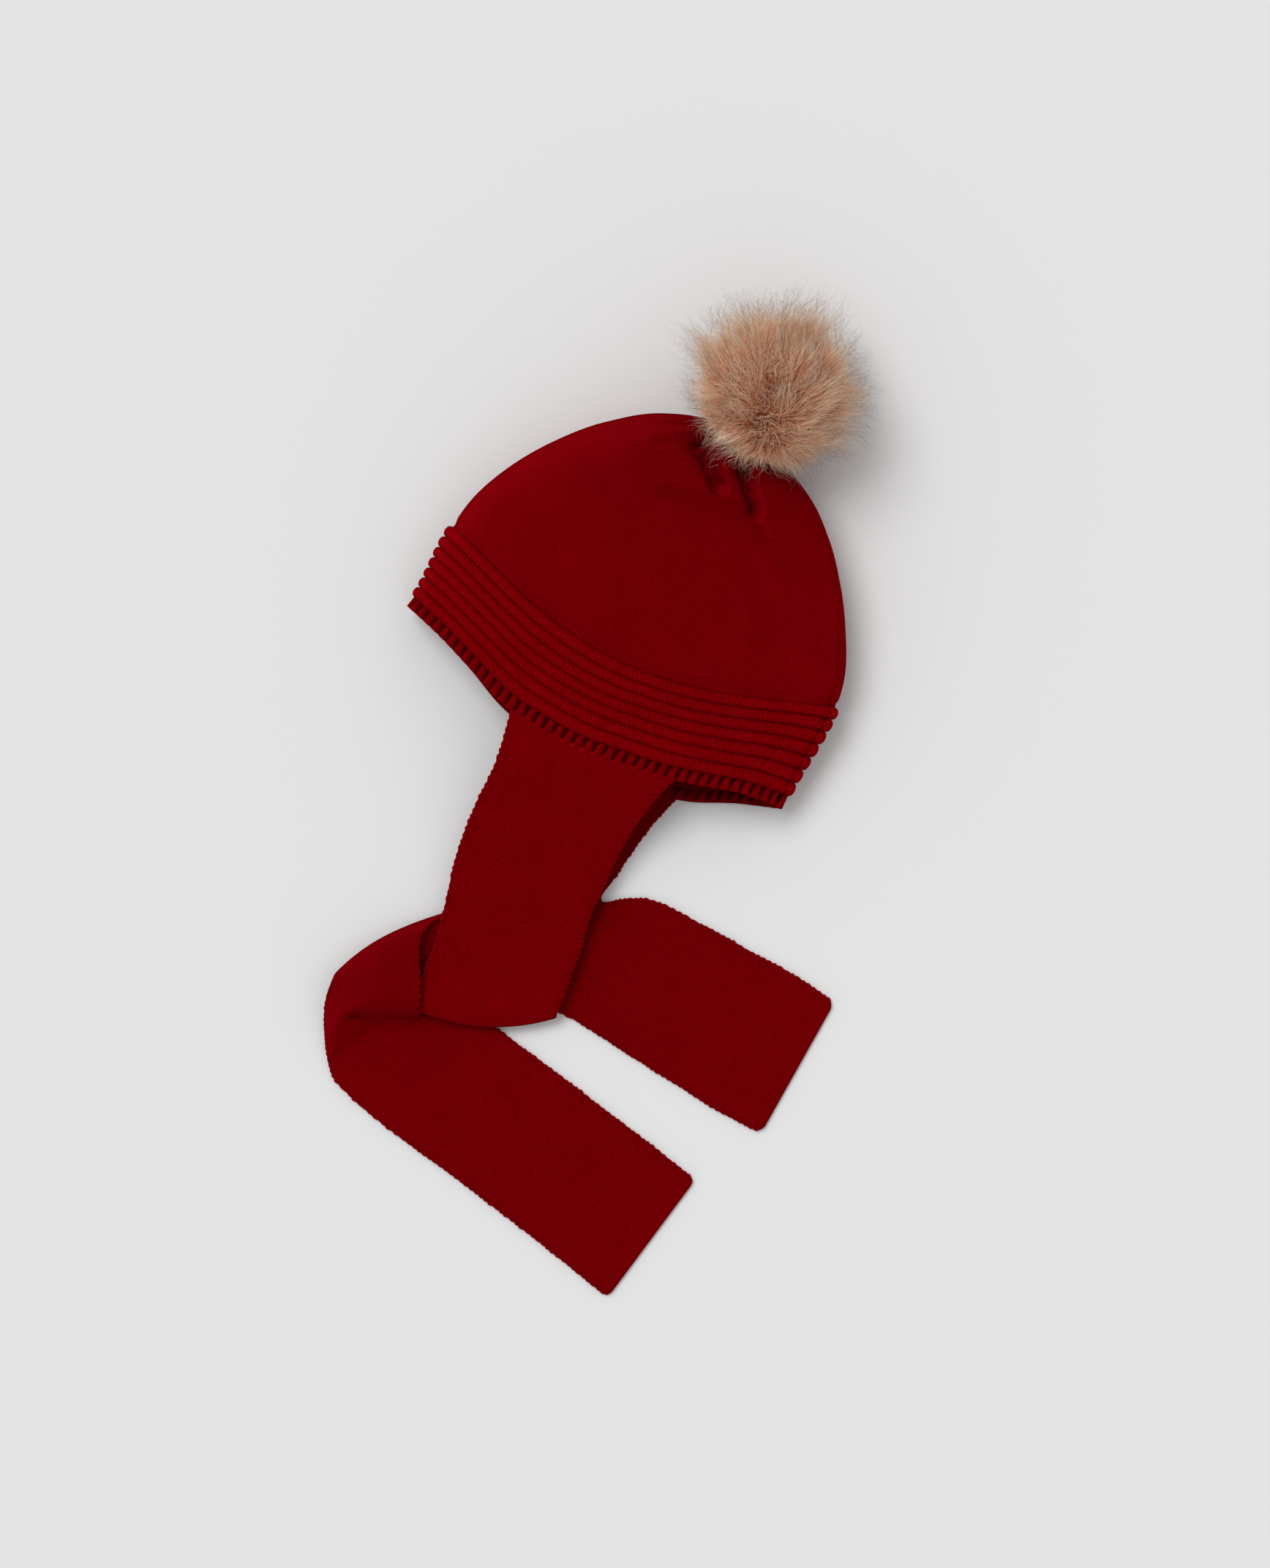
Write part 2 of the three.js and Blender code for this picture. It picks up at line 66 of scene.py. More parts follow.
# Ties, in millimetres. A flap meets the rim between two shares of the way across it
TIE_THICKNESS = 2.3
TIE_CORNER = 4
FLOOR_TIE_HEIGHT = 1.4
FLAP_OVERLAP = 0.7
RIM_BLEND = 50
NEAR_FLAP = (-0.34, 0.5)
FAR_FLAP = (-0.28, 0.55)
LOOP_FOLD = 14
SELVEDGE_PITCH = 3.0
SELVEDGE_REACH = 0.55

# Stitches, in millimetres
WALE_PITCH = 1.18
COURSE_PITCH = 0.92
PURL_PITCH = 1.35
PURL_ROWS = 4

# Pompom: centre and core in millimetres, and what the node trees read in metres
POMPOM_CENTRE = (4.2, 163.5, 39.5)
CORE_RADIUS = 26.5
PARTING = (0.0111, 0.055, 0.0479)
LOCK_SCALE = 105.0
STRAY_SCALE = 900.0
WAVE_SCALE = 200.0
FUR_GAP = 0.0004

# Rows and columns of the meshes, with the rows of a wall's inner face last
CROWN_MESH = (130, 400, 24)
BAND_MESH = (85, 480, 8)
EDGING_MESH = (10, RIBS * 10, 4)
FINE_TURNS = 2881
TIE_COLUMNS = 23
TIE_ROW_STEP = 0.42
SKIN_MESH = (60, 200)

# The hat's rows, each at a length of knit above the rim, lying as the part's rows do
HAT_ROWS = columns(
    "at front front_up back back_up dip far top fold under",
    [
        (0, -98.2, 0, 99.0, 0, 21.1, 1, 35, 14, 0.8),
        (6, -97.4, 5.3, 98.6, 6.7, 20.4, 1, 36.5, 14.5, 0.8),
        (47, -97.4, 42.2, 98.8, 53, 23.5, 0.9, 43.5, 17, 1.2),
        (65, -94.6, 60, 95.2, 68, 21, 0.7, 48.5, 19, 0),
        (86, -86, 81, 87, 84, 15.5, 0.5, 51, 20.5, 0),
        (109, -72.4, 102, 74, 103, 10, 0.3, 51.5, 22, 0),
        (129, -57, 119.5, 58.4, 120, 6, 0.1, 48.5, 24, 0),
        (146, -39.5, 133, 40.5, 133, 3, 0, 43.5, 27, 6),
        (159, -20, 141, 20, 141, 1, 0, 38, 30, 20),
        (170, -2, 144.5, 2, 144.5, 0, 0, 33, 32, 31),
    ],
)

# How far the rim dips across the hat, and how much lower its far side lies
RIM_DIPS = columns(
    "at share farther",
    [
        (-1, 0, 0),
        (-0.8, 0.24, 0),
        (-0.6, 0.55, 0.2),
        (-0.4, 0.88, 1.2),
        (-0.2, 0.99, 3),
        (0, 1, 5),
        (0.2, 0.85, 7.2),
        (0.4, 0.69, 8.6),
        (0.6, 0.42, 8.6),
        (0.8, 0.12, 5.2),
        (1, 0, 0),
    ],
)

# Creases pressed into the upper side of the crown
CREASES = columns(
    "x0 y0 x1 y1 depth width",
    [
        (-14, 128, 1.8, 115, 5, 4.5),
        (7, 129, 20.9, 113, 5, 4.5),
        (-23.2, 99.4, 13.8, 109.8, 1.8, 5),
        (22.5, 111.4, 49.3, 94.2, 2.2, 6),
        (37.8, 80.3, 51.1, 55.8, 1.2, 7),
        (60.8, 95.8, 77.3, 65.3, 1.2, 7),
    ],
)

# Near tie: its two selvedges, its arch between them and how far its middle runs ahead
NEAR_TIE = columns(
    "lx ly lz rx ry rz arch bow",
    [
        (-33.3, -20.2, 32, 49.5, -13.2, 31, 1.5, 0),
        (-28.1, -43.3, 26, 45.2, -28.7, 25, 1.5, 0),
        (-26.6, -67.6, 18, 43.2, -47.2, 17, 1, 0),
        (-23.0, -92.7, 11.5, 44.1, -68.7, 11.5, 0.5, 0),
        (-16.4, -116.2, 9.8, 45.4, -85.4, 9.5, 0, 0),
        (-12.3, -135.3, 9.2, 48.9, -103.3, 9.2, 0, 0),
        (-10.1, -151.3, 8.6, 51.2, -118.3, 9, 0, 3),
        (-7.2, -160.0, 8.6, 52.6, -130.2, 9.3, 0, 6),
        (-6.5, -162.0, 6.9, 53.1, -133.9, 7.3, 0, 6),
        (-6.9, -159.8, 5.2, 51.8, -130.7, 5.3, 0, 6),
        (-11.0, -154.7, 4.9, 42.8, -117.0, 4.9, 0, 0),
        (-20.0, -159.6, 4.7, 24.4, -104.5, 4.7, 0, 0),
        (-31.0, -162.3, 4.8, 3.5, -105.8, 4.8, 0, -2),
        (-41.0, -161.4, 5, -12.6, -115.6, 4.8, 0, -3.8),
        (-44.6, -163.4, 7.5, -17, -122.4, 6.6, 0, -4),
        (-45.8, -167.3, 9.5, -18.6, -126.0, 8.8, 1, -3.8),
        (-46.0, -172.2, 9.5, -19.4, -129.8, 11, 2, -3),
        (-44.6, -178.8, 7.5, -18.6, -134.6, 12.8, 4, -2),
        (-41.3, -186.4, 5, -14.5, -141.9, 13.4, 5, -2),
        (-37.8, -192.4, 3.5, -8.4, -151.6, 13.2, 5.5, -4),
        (-34.9, -197.0, 2.5, -4.8, -159.3, 12.6, 4.5, -7),
        (-31.7, -201.5, 1.8, -1.6, -163.6, 7.8, 2.5, -8),
        (-28.8, -205.4, 1.5, 2.4, -161.6, 2.3, 0.5, -7),
        (-24.4, -209.2, 1.4, 7, -157.2, 1.4, 0, -4),
        (-10.3, -213.9, 1.4, 14, -153.2, 1.4, 0, 0),
        (13.0, -218.3, 1.4, 24.5, -151.7, 1.4, 0, 0),
        (41.4, -222.2, 1.4, 51.0, -155.1, 1.4, 0, 0),
        (85.8, -229.1, 1.4, 95.7, -161.8, 1.4, 0, 0),
        (136.4, -238.3, 1.4, 146.2, -170.0, 1.4, 0, 0),
    ],
)

# Far tie, flat on the floor
FAR_TIE = columns(
    "lx ly rx ry",
    [
        (-27.9, -24.6, 54.5, -20.9),
        (-22.1, -45.8, 50.5, -35.1),
        (-19.0, -67.3, 47.9, -52.3),
        (-14.8, -84.4, 46.3, -67.9),
        (-9.6, -101.0, 45.2, -73.7),
        (-0.5, -114.2, 45.5, -75.9),
        (12.0, -124.4, 46.3, -77.0),
        (28.0, -131.2, 47.6, -77.0),
        (42.4, -132.7, 49.6, -75.6),
        (53.8, -132.3, 53.2, -72.4),
        (73.4, -132.9, 66.0, -65.7),
        (91.7, -134.5, 90.0, -64.3),
        (117.7, -136.0, 118.0, -64.6),
        (141.7, -137.6, 142.8, -64.7),
        (162.7, -137.0, 163.7, -66.9),
    ],
)

RIM, BAND_START, CROWN_START, TIP = HAT_ROWS["at"][[0, 1, 2, -1]]

# Creases of the scene alone: the band's pinch by the nape, its join, and puckers by the pompom
FINE_CREASES = columns(
    "x0 y0 x1 y1 depth width lop",
    [
        (95.6, 4, 96.1, 52, 5, 1.1, 1),
        (80.9, 11.1, 83.7, 24.1, 1.3, 0.8, 1),
        (-14, 127, 2, 114.9, 10, 1.9, 2.2),
        (7, 129, 21.3, 113.6, 10, 1.4, 2.4),
        (30, 108, 46, 91, 1.4, 4, 1.5),
        (-31, 121, -19, 128, 1.0, 3, 1),
        (-18.7, 101.1, 18, 111, 3.2, 2.4, 1.8),
        (22, 113, 30, 104, 2, 2.4, 1.5),
        (30, 128, 38, 118, 1.6, 3, 1),
        (42, 122, 52, 112, 1.4, 3.5, 1),
        (41, 76, 52, 56, 1.1, 3.5, 1.3),
        (63, 92, 76, 68, 1.1, 3.5, 1.3),
        (-60, 60, -30, 66, 1.0, 8, 1),
        (10, 62, 34, 56, 0.9, 8, 1),
        (-40, 88, -10, 84, 0.9, 7, 1),
    ],
)

# Crease below the loop of the near tie, and the pit at its end
LOOP_CREASES = columns(
    "x0 y0 x1 y1 depth width lop",
    [
        (-1, -163.2, -30.5, -179.3, 4.5, 1.8, 3.2),
        (-27, -177.2, -32.5, -180, 2.5, 1.8, 1.2),
    ],
)


# Curves through the tables


def smooth(table, column, at):
    """One column of a table, on a smooth curve through its rows."""
    x, y = table["at"], table[column]
    span = np.diff(x)
    rise = np.diff(y) / span
    inner = (rise[1:] * span[:-1] + rise[:-1] * span[1:]) / (span[:-1] + span[1:])
    slope = np.concatenate([rise[:1], inner, rise[-1:]])
    i = np.clip(np.searchsorted(x, at, side="right") - 1, 0, len(x) - 2)
    t = (at - x[i]) / span[i]
    bend = t * t * (3 - 2 * t)
    leave = slope[i] * t * (1 - t) ** 2
    arrive = slope[i + 1] * t * t * (t - 1)
    return y[i] + (y[i + 1] - y[i]) * bend + span[i] * (leave + arrive)


def mix(a, b, t):
    """The value a share t of the way from a to b."""
    return a + (b - a) * t


def ease(value, start, end):
    """0 before the start and 1 past the end, with a smooth step between."""
    t = np.clip((value - start) / (end - start), 0, 1)
    return t * t * (3 - 2 * t)


def unit(directions):
    """Directions made one long."""
    length = np.linalg.norm(directions, axis=-1, keepdims=True)
    return directions / np.maximum(length, 1e-9)


def crease_depth(table, x, y):
    """How far a point is pressed in by a table's creases. lop widens a crease on its left hand."""
    total = np.zeros_like(x)
    lops = table.get("lop", np.ones(len(table["x0"])))
    sides = [table[name] for name in "x0 y0 x1 y1 depth width".split()]
    for x0, y0, x1, y1, depth, width, lop in zip(*sides, lops):
        dx, dy = x1 - x0, y1 - y0
        t = np.clip(((x - x0) * dx + (y - y0) * dy) / (dx * dx + dy * dy), 0, 1)
        distance = np.hypot(x - x0 - dx * t, y - y0 - dy * t)
        aside = (dx * (y - y0) - dy * (x - x0)) / np.hypot(dx, dy)
        reach = width * (1 + (lop - 1) * np.clip(aside / np.maximum(distance, 1e-6), 0, 1))
        total += depth * np.exp(-((distance / reach) ** 2))
    return total


# The hat's surface: its turns start at the forehead fold and reach the nape fold half way round


def hat_point(row, turn):
    """Points of the hat's outer face at rows and turns."""
    row, turn = np.broadcast_arrays(np.asarray(row, float), np.asarray(turn, float))
    at = {name: smooth(HAT_ROWS, name, row) for name in HAT_ROWS if name != "at"}
    across = -np.cos(turn)
    side = np.sin(turn)
    share = (across + 1) / 2
    rim_share = smooth(RIM_DIPS, "share", across)
    row_share = np.maximum(0, 1 - across * across) ** ROW_DIP_POWER
    dip_share = mix(rim_share, row_share, np.minimum(row / CROWN_START, 1))
    farther = np.where(side < 0, smooth(RIM_DIPS, "farther", across) * at["far"], 0)
    x = mix(at["front"], at["back"], share)
    y = mix(at["front_up"], at["back_up"], share) - at["dip"] * dip_share - farther
    below = np.minimum(1, np.maximum(-side, 0) / 0.5)
    under = mix(at["fold"], at["under"], np.sin(below * np.pi / 2))
    rise = (at["top"] - at["fold"]) * np.maximum(side, 0) ** DOME_POWER
    pressed = (crease_depth(CREASES, x, y) + crease_depth(FINE_CREASES, x, y)) * ease(side, 0, 0.4)
    slack = SLACK * np.sin(x / 15 + 1.3) * np.sin(y / 19 + 0.4)
    slack = slack * ease(side, 0.1, 0.6) * ease(row, 40, 60)
    z = np.where(side < 0, np.maximum(under, 0), at["fold"] + rise - pressed + slack)
    return np.stack([x, y, z], axis=-1)


def hat_outward(row, turn):
    """The outward direction of the hat's outer face."""
    above, below = np.minimum(row + 0.5, TIP), np.maximum(row - 0.5, RIM)
    along = hat_point(above, turn) - hat_point(below, turn)
    around = hat_point(row, turn + 0.01) - hat_point(row, turn - 0.01)
    return unit(np.cross(around, along))


def even_turns(count, row):
    """Turns spaced evenly by length round one row, and the length of that row."""
    fine = np.linspace(0, 2 * np.pi, FINE_TURNS)
    path = hat_point(np.full(FINE_TURNS, row), fine)
    steps = np.linalg.norm(np.diff(path, axis=0), axis=-1)
    length = np.concatenate([[0], np.cumsum(steps)])
    return np.interp(np.arange(count) / count * length[-1], length, fine), length[-1]


# Meshes from rings of points


def ring_mesh(name, rings, uv, fields, loop=False, hubs=(), ends=False):
    """A skin through closed rings of points in millimetres. uv gives stitches at each corner, with
    one more column than the rings have. loop joins the last ring to the first, hubs close rings
    with a point in their middle and ends close a strip's two ends straight across."""
    rows, count = rings.shape[:2]
    r, c = np.meshgrid(np.arange(rows if loop else rows - 1), np.arange(count), indexing="ij")
    r, c = r.ravel(), c.ravel()
    after, beside = (r + 1) % rows, (c + 1) % count
    here, there = r * count, after * count
    quads = np.stack([here + c, here + beside, there + beside, there + c], axis=-1)
    faces = [tuple(q) for q in quads.tolist()]
    corners = [uv[r, c], uv[r, c + 1], uv[after, c + 1], uv[after, c]]
    corner_uv = np.stack(corners, axis=1).reshape(-1, 2)
    points = rings.reshape(-1, 3).copy()
    fields = {key: value.reshape(rows * count, -1) for key, value in fields.items()}
    extra = []
    for ring, forward in hubs:
        hub = len(points)
        points = np.vstack([points, rings[ring].mean(axis=0)])
        fields = {key: np.vstack([v, v[ring * count]]) for key, v in fields.items()}
        for k in range(count):
            a, b = ring * count + k, ring * count + (k + 1) % count
            faces.append((a, b, hub) if forward else (b, a, hub))
            extra += [uv[ring, k], uv[ring, k + 1], uv[ring, k]]
    if ends:
        last = (rows - 1) * count
        for k in range(count // 2 - 1):
            under, over = (k, k + 1), (count - 1 - k, count - 2 - k)
            faces.append((under[1], under[0], over[0], over[1]))
            faces.append((last + under[0], last + under[1], last + over[1], last + over[0]))
            extra += [uv[0, k]] * 4 + [uv[-1, k]] * 4
    if extra:
        corner_uv = np.vstack([corner_uv, np.array(extra)])
    points[:, 1] -= ORIGIN_HEIGHT
    mesh = bpy.data.meshes.new(name)
    mesh.from_pydata((points / 1000).tolist(), [], faces)
    layer = mesh.uv_layers.new(name="stitches")
    layer.data.foreach_set("uv", corner_uv.astype(np.float32).ravel())
    for key, value in fields.items():
        kind = "FLOAT" if value.shape[1] == 1 else "FLOAT_VECTOR"
        data = mesh.attributes.new(key, kind, "POINT").data
        data.foreach_set("value" if kind == "FLOAT" else "vector", value.astype(np.float32).ravel())
    mesh.polygons.foreach_set("use_smooth", np.ones(len(mesh.polygons), dtype=bool))
    mesh.update()
    return mesh


def hat_skin(
    name,
    outer_rows,
    inner_rows,
    count,
    at_row,
    relief,
    fields,
    pitch=(WALE_PITCH, COURSE_PITCH),
    domed=False,
):
    """A wall of the hat: its outer face raised by a relief, and its plain inner face. Its columns
    are even at at_row, fields give what its node tree reads, and domed closes it at the tip."""
    turns, around = even_turns(count, at_row)
    rows = np.concatenate([outer_rows, inner_rows[::-1]])[:, None]
    is_outer = (np.arange(len(rows)) < len(outer_rows))[:, None]
    turn = turns[None, :]
    outward = hat_outward(rows, turn)
    distance = np.where(is_outer, relief(rows, turn), -WALL)
    rings = hat_point(rows, turn) + outward * distance[..., None]
    rings[..., 2] = np.maximum(rings[..., 2], 0)
    wales = 2 * np.round(around / pitch[0] / 2)
    shares = np.append(np.arange(count), count) / count
    courses = (rows - outer_rows[0]) / pitch[1]
    uv = np.stack(np.broadcast_arrays(shares[None, :] * wales, courses), axis=-1)
    values = {"outward": outward * is_outer[..., None]}
    for key, field in fields.items():
        values[key] = np.broadcast_to(field(rows, shares[None, :-1], turn), rings.shape[:2])
    if domed:
        order = np.roll(np.arange(len(rows)), len(inner_rows))
        rings, uv = rings[order], uv[order]
        values = {key: v[order] for key, v in values.items()}
        return ring_mesh(name, rings, uv, values, hubs=((0, False), (len(rings) - 1, True)))
    return ring_mesh(name, rings, uv, values, loop=True)


# Ties: strips of knit between two selvedges


def with_lengths(rows):
    """A tie's table with each row's distance along the strip."""
    rows = dict(rows)
    flat = {"lz": FLOOR_TIE_HEIGHT, "rz": FLOOR_TIE_HEIGHT, "arch": 0, "bow": 0}
    for name, value in flat.items():
        rows.setdefault(name, np.full(len(rows["lx"]), float(value)))
    steps = 0
    for side in "lr":
        edge = np.stack([rows[side + "x"], rows[side + "y"], rows[side + "z"]], axis=-1)
        steps = steps + np.linalg.norm(np.diff(edge, axis=0), axis=-1) / 2
    rows["at"] = np.concatenate([[0], np.cumsum(steps)])
    return rows


def flap_root(flap, share, upper):
    """The middle of the rim's wall under a flap, at shares across it from -1 to 1."""
    across = mix(flap[0], flap[1], (share + 1) / 2)
    turn = np.arccos(-across) if upper else 2 * np.pi - np.arccos(-across)
    away = unit(hat_point(RIM, turn) - hat_point(RIM + 1, turn))
    point = hat_point(RIM, turn) - hat_outward(RIM, turn) * WALL / 2 + away * -FLAP_OVERLAP
    if not upper:
        point[..., 2] = FLOOR_TIE_HEIGHT
    return point


def tie_middle(table, flap, upper, length, share):
    """The middle surface of a tie at lengths along it and shares across it from -1 to 1."""
    length, share = np.broadcast_arrays(length, share)
    length = np.clip(length, 0, table["at"][-1])

    def edges(where):
        """The strip's left and right edge at lengths along it."""
        at = {name: smooth(table, name, where) for name in "lx ly lz rx ry rz".split()}
        left = np.stack([at["lx"], at["ly"], at["lz"]], axis=-1)
        return left, np.stack([at["rx"], at["ry"], at["rz"]], axis=-1)

    left, right = edges(length)
    part = ((share + 1) / 2)[..., None]
    middle = 1 - share * share
    point = mix(left, right, part)
    span = right - left
    ahead = unit(np.stack([span[..., 1], -span[..., 0], np.zeros_like(share)], axis=-1))
    point = point + ahead * (smooth(table, "bow", length) * middle)[..., None]
    point[..., 2] += smooth(table, "arch", length) * middle
    if upper:
        pressed = crease_depth(LOOP_CREASES, point[..., 0], point[..., 1])
        pressed = pressed * ease(length, table["at"][LOOP_FOLD], table["at"][LOOP_FOLD + 3])
        point[..., 2] -= np.minimum(pressed, np.maximum(point[..., 2] - FLOOR_TIE_HEIGHT, 0))
    root_left, root_right = edges(np.zeros_like(length))
    straight = mix(root_left, root_right, part)
    straight[..., 2] += smooth(table, "arch", np.zeros_like(length)) * middle
    fade = 1 - ease(length, 0, RIM_BLEND)
    return point + (flap_root(flap, share, upper) - straight) * fade[..., None]


def tie_mesh(name, rows, flap, upper, corner):
    """A tie as a closed strip with rounded selvedges, from the rim to its cast-off end."""
    step, aside, edge_from = 0.6, 0.02, 0.86
    table = with_lengths(rows)
    end = table["at"][-1]
    half = TIE_THICKNESS / 2
    width = np.hypot(table["lx"] - table["rx"], table["ly"] - table["ry"]).mean() / 2
    round_share = half / width
    flat = 1 - round_share
    dense = flat * np.sin(np.linspace(-np.pi / 2, np.pi / 2, TIE_COLUMNS))
    turns = np.radians([-60, -30, 0, 30, 60])
    share = np.concatenate([dense, flat + round_share * np.cos(turns)])
    share = np.concatenate([share, -share])
    face = np.ones(TIE_COLUMNS)
    height = np.concatenate([-face, np.sin(turns), face, -np.sin(turns)])
    edge = np.clip((np.abs(share) - flat) / round_share, 0, 1) * np.sign(share)
    rounding = half * (1 - np.sin(np.radians([0, 30, 55, 75, 88])))
    lengths = np.concatenate([np.arange(0, end - half, TIE_ROW_STEP), end - rounding])
    near_end = np.clip((lengths - (end - corner)) / corner, 0, 1)
    narrow = 1 - (1 - np.sqrt(1 - np.minimum(near_end, 0.999) ** 2)) * corner / width
    thin = np.sqrt(np.maximum(1 - (np.maximum(lengths - (end - half), 0) / half) ** 2, 0.01))
    at = lengths[:, None]
    spot = share[None, :] * narrow[:, None]

    def middle(where, across):
        """The strip's middle surface at lengths along it and shares across it."""
        return tie_middle(table, flap, upper, where, across)

    inside = np.clip(spot, -1, 1)
    after, before = np.minimum(at + step, end), np.maximum(at - step, 0)
    along = unit(middle(after, inside) - middle(before, inside))
    right, left = np.minimum(inside + aside, 1), np.maximum(inside - aside, -1)
    across = unit(middle(at, right) - middle(at, left))
    up = unit(np.cross(along, across))
    rings = middle(at, inside) + up * (height[None, :] * half * thin[:, None])[..., None]
    rings[..., 2] = np.maximum(rings[..., 2], 0.02)
    place = np.append(spot, spot[:, :1], axis=1) * width / WALE_PITCH
    uv = np.stack([place, np.broadcast_to(at / COURSE_PITCH, place.shape)], axis=-1)
    fields = {
        "sideways": across * edge[None, :, None],
        "course": np.broadcast_to(at, spot.shape),
        "edge": np.broadcast_to(ease(np.abs(share), edge_from, 1), spot.shape),
    }
    return ring_mesh(name, rings, uv, fields, ends=True), table


# Node trees


def add(tree, kind, inputs=(), **settings):
    """A node with its settings, and its inputs set to values or joined to sockets."""
    node = tree.nodes.new(kind)
    for name, value in settings.items():
        setattr(node, name, value)
    for key, value in dict(inputs).items():
        if isinstance(value, bpy.types.NodeSocket):
            tree.links.new(value, node.inputs[key])
        else:
            node.inputs[key].default_value = value
    return node


def maths(tree, operation, *values):
    """The result of a Math node on values or sockets."""
    return add(tree, "ShaderNodeMath", enumerate(values), operation=operation).outputs[0]


def vectors(tree, operation, *values):
    """The result of a Vector Math node on values or sockets."""
    return add(tree, "ShaderNodeVectorMath", enumerate(values), operation=operation).outputs[0]


def scaled(tree, vector, amount):
    """A vector made longer or shorter by an amount."""
    inputs = {"Vector": vector, "Scale": amount}
    return add(tree, "ShaderNodeVectorMath", inputs, operation="SCALE").outputs[0]


def new_tree(name, kind, inputs, outputs):
    """A node tree with named inputs and outputs, and its two end nodes."""
    tree = bpy.data.node_groups.new(name, kind)
    for direction, sockets in (("INPUT", inputs), ("OUTPUT", outputs)):
        for label, kind_of in sockets:
            kind_of = "NodeSocket" + kind_of
            tree.interface.new_socket(label, in_out=direction, socket_type=kind_of)
    return tree, tree.nodes.new("NodeGroupInput"), tree.nodes.new("NodeGroupOutput")


def named(tree, attribute, data_type="FLOAT"):
    """The value of a named attribute."""
    node = add(tree, "GeometryNodeInputNamedAttribute", {"Name": attribute}, data_type=data_type)
    return node.outputs["Attribute"]


def stored(tree, geometry, attribute, value, data_type="FLOAT"):
    """The geometry with a value stored on its points."""
    inputs = {"Geometry": geometry, "Name": attribute, "Value": value}
    kind = {"data_type": data_type, "domain": "POINT"}
    return add(tree, "GeometryNodeStoreNamedAttribute", inputs, **kind).outputs[0]


def finished(tree, geometry, source, target):
    """Ends a tree: instances made real, and its finish set."""
    real = add(tree, "GeometryNodeRealizeInstances", {"Geometry": geometry}).outputs[0]
    inputs = {"Geometry": real, "Material": source.outputs["Finish"]}
    dressed = add(tree, "GeometryNodeSetMaterial", inputs).outputs[0]
    tree.links.new(dressed, target.inputs["Geometry"])


GEOMETRY_OUT = [("Geometry", "Geometry")]
FAR_OFF = -9.0


def relief_tree(name, inputs):
    """The two ends of a tree that moves a skin's points, its inputs ending in the finish."""
    sizes = [(label, "Float") for label in inputs]
    sockets = [("Geometry", "Geometry"), *sizes, ("Finish", "Material")]
    return new_tree(name, "GeometryNodeTree", sockets, GEOMETRY_OUT)


def end_relief(tree, source, target, offset, groove):
    """Moves the points by an offset and keeps how deep they lie in a groove, from 0 to 1, which the
    knit darkens as painted shade.
    """
    kept = stored(tree, source.outputs["Geometry"], "groove", groove)
    spot = vectors(tree, "ADD", add(tree, "GeometryNodeInputPosition").outputs[0], offset)
    spot = vectors(tree, "MAXIMUM", spot, (FAR_OFF, FAR_OFF, 0.0))
    moved = add(tree, "GeometryNodeSetPosition", {"Geometry": kept, "Position": spot}).outputs[0]
    finished(tree, moved, source, target)


def welts_tree():
    """Rolled purl welts: round ridges with narrow grooves between them."""
    tree, source, target = relief_tree("rolled_welts", ["Welts", "Rise"])
    half_turns = maths(tree, "MULTIPLY", source.outputs["Welts"], np.pi)
    turns = maths(tree, "MULTIPLY", named(tree, "welt_share"), half_turns)
    crest = maths(tree, "ABSOLUTE", maths(tree, "SINE", turns))
    crest = maths(tree, "POWER", crest, WELT_ROUNDNESS)
    height = maths(tree, "MULTIPLY", crest, source.outputs["Rise"])
    height = maths(tree, "MULTIPLY", height, named(tree, "fullness"))
    lift = scaled(tree, named(tree, "outward", "FLOAT_VECTOR"), height)
    # The groove kept here is darkened in the knit as painted shade between the welts
    end_relief(tree, source, target, lift, maths(tree, "SUBTRACT", 1.0, crest))
    return tree


def ribs_tree():
    """Ribs of the rim, with wedges between them that are widest and deepest by the band."""
    narrowest, widening, bed_share, fade_reach = 0.42, 0.5, 0.68, 0.3
    tree, source, target = relief_tree("rim_ribs", ["Depth"])
    phase = maths(tree, "FRACT", named(tree, "rib_phase"))
    off_crest = maths(tree, "ABSOLUTE", maths(tree, "MULTIPLY_ADD", phase, 2.0, -1.0))
    up_share = named(tree, "up_share")
    width = maths(tree, "MULTIPLY_ADD", up_share, widening, narrowest)
    inside = maths(tree, "SUBTRACT", off_crest, maths(tree, "SUBTRACT", 1.0, width))
    wedge = {"Value": inside, "From Max": maths(tree, "MULTIPLY", width, bed_share)}
    wedge = add(tree, "ShaderNodeMapRange", wedge, interpolation_type="SMOOTHSTEP").outputs[0]
    fade = {"Value": up_share, "From Min": -fade_reach, "From Max": fade_reach}
    fade = add(tree, "ShaderNodeMapRange", fade, interpolation_type="SMOOTHSTEP").outputs[0]
    # The wedge is kept as a groove, which the knit darkens as painted shade between the ribs
    groove = maths(tree, "MULTIPLY", wedge, fade)
    depth = maths(tree, "MULTIPLY", groove, maths(tree, "MULTIPLY", source.outputs["Depth"], -1.0))
    offset = scaled(tree, named(tree, "outward", "FLOAT_VECTOR"), depth)
    end_relief(tree, source, target, offset, groove)
    return tree


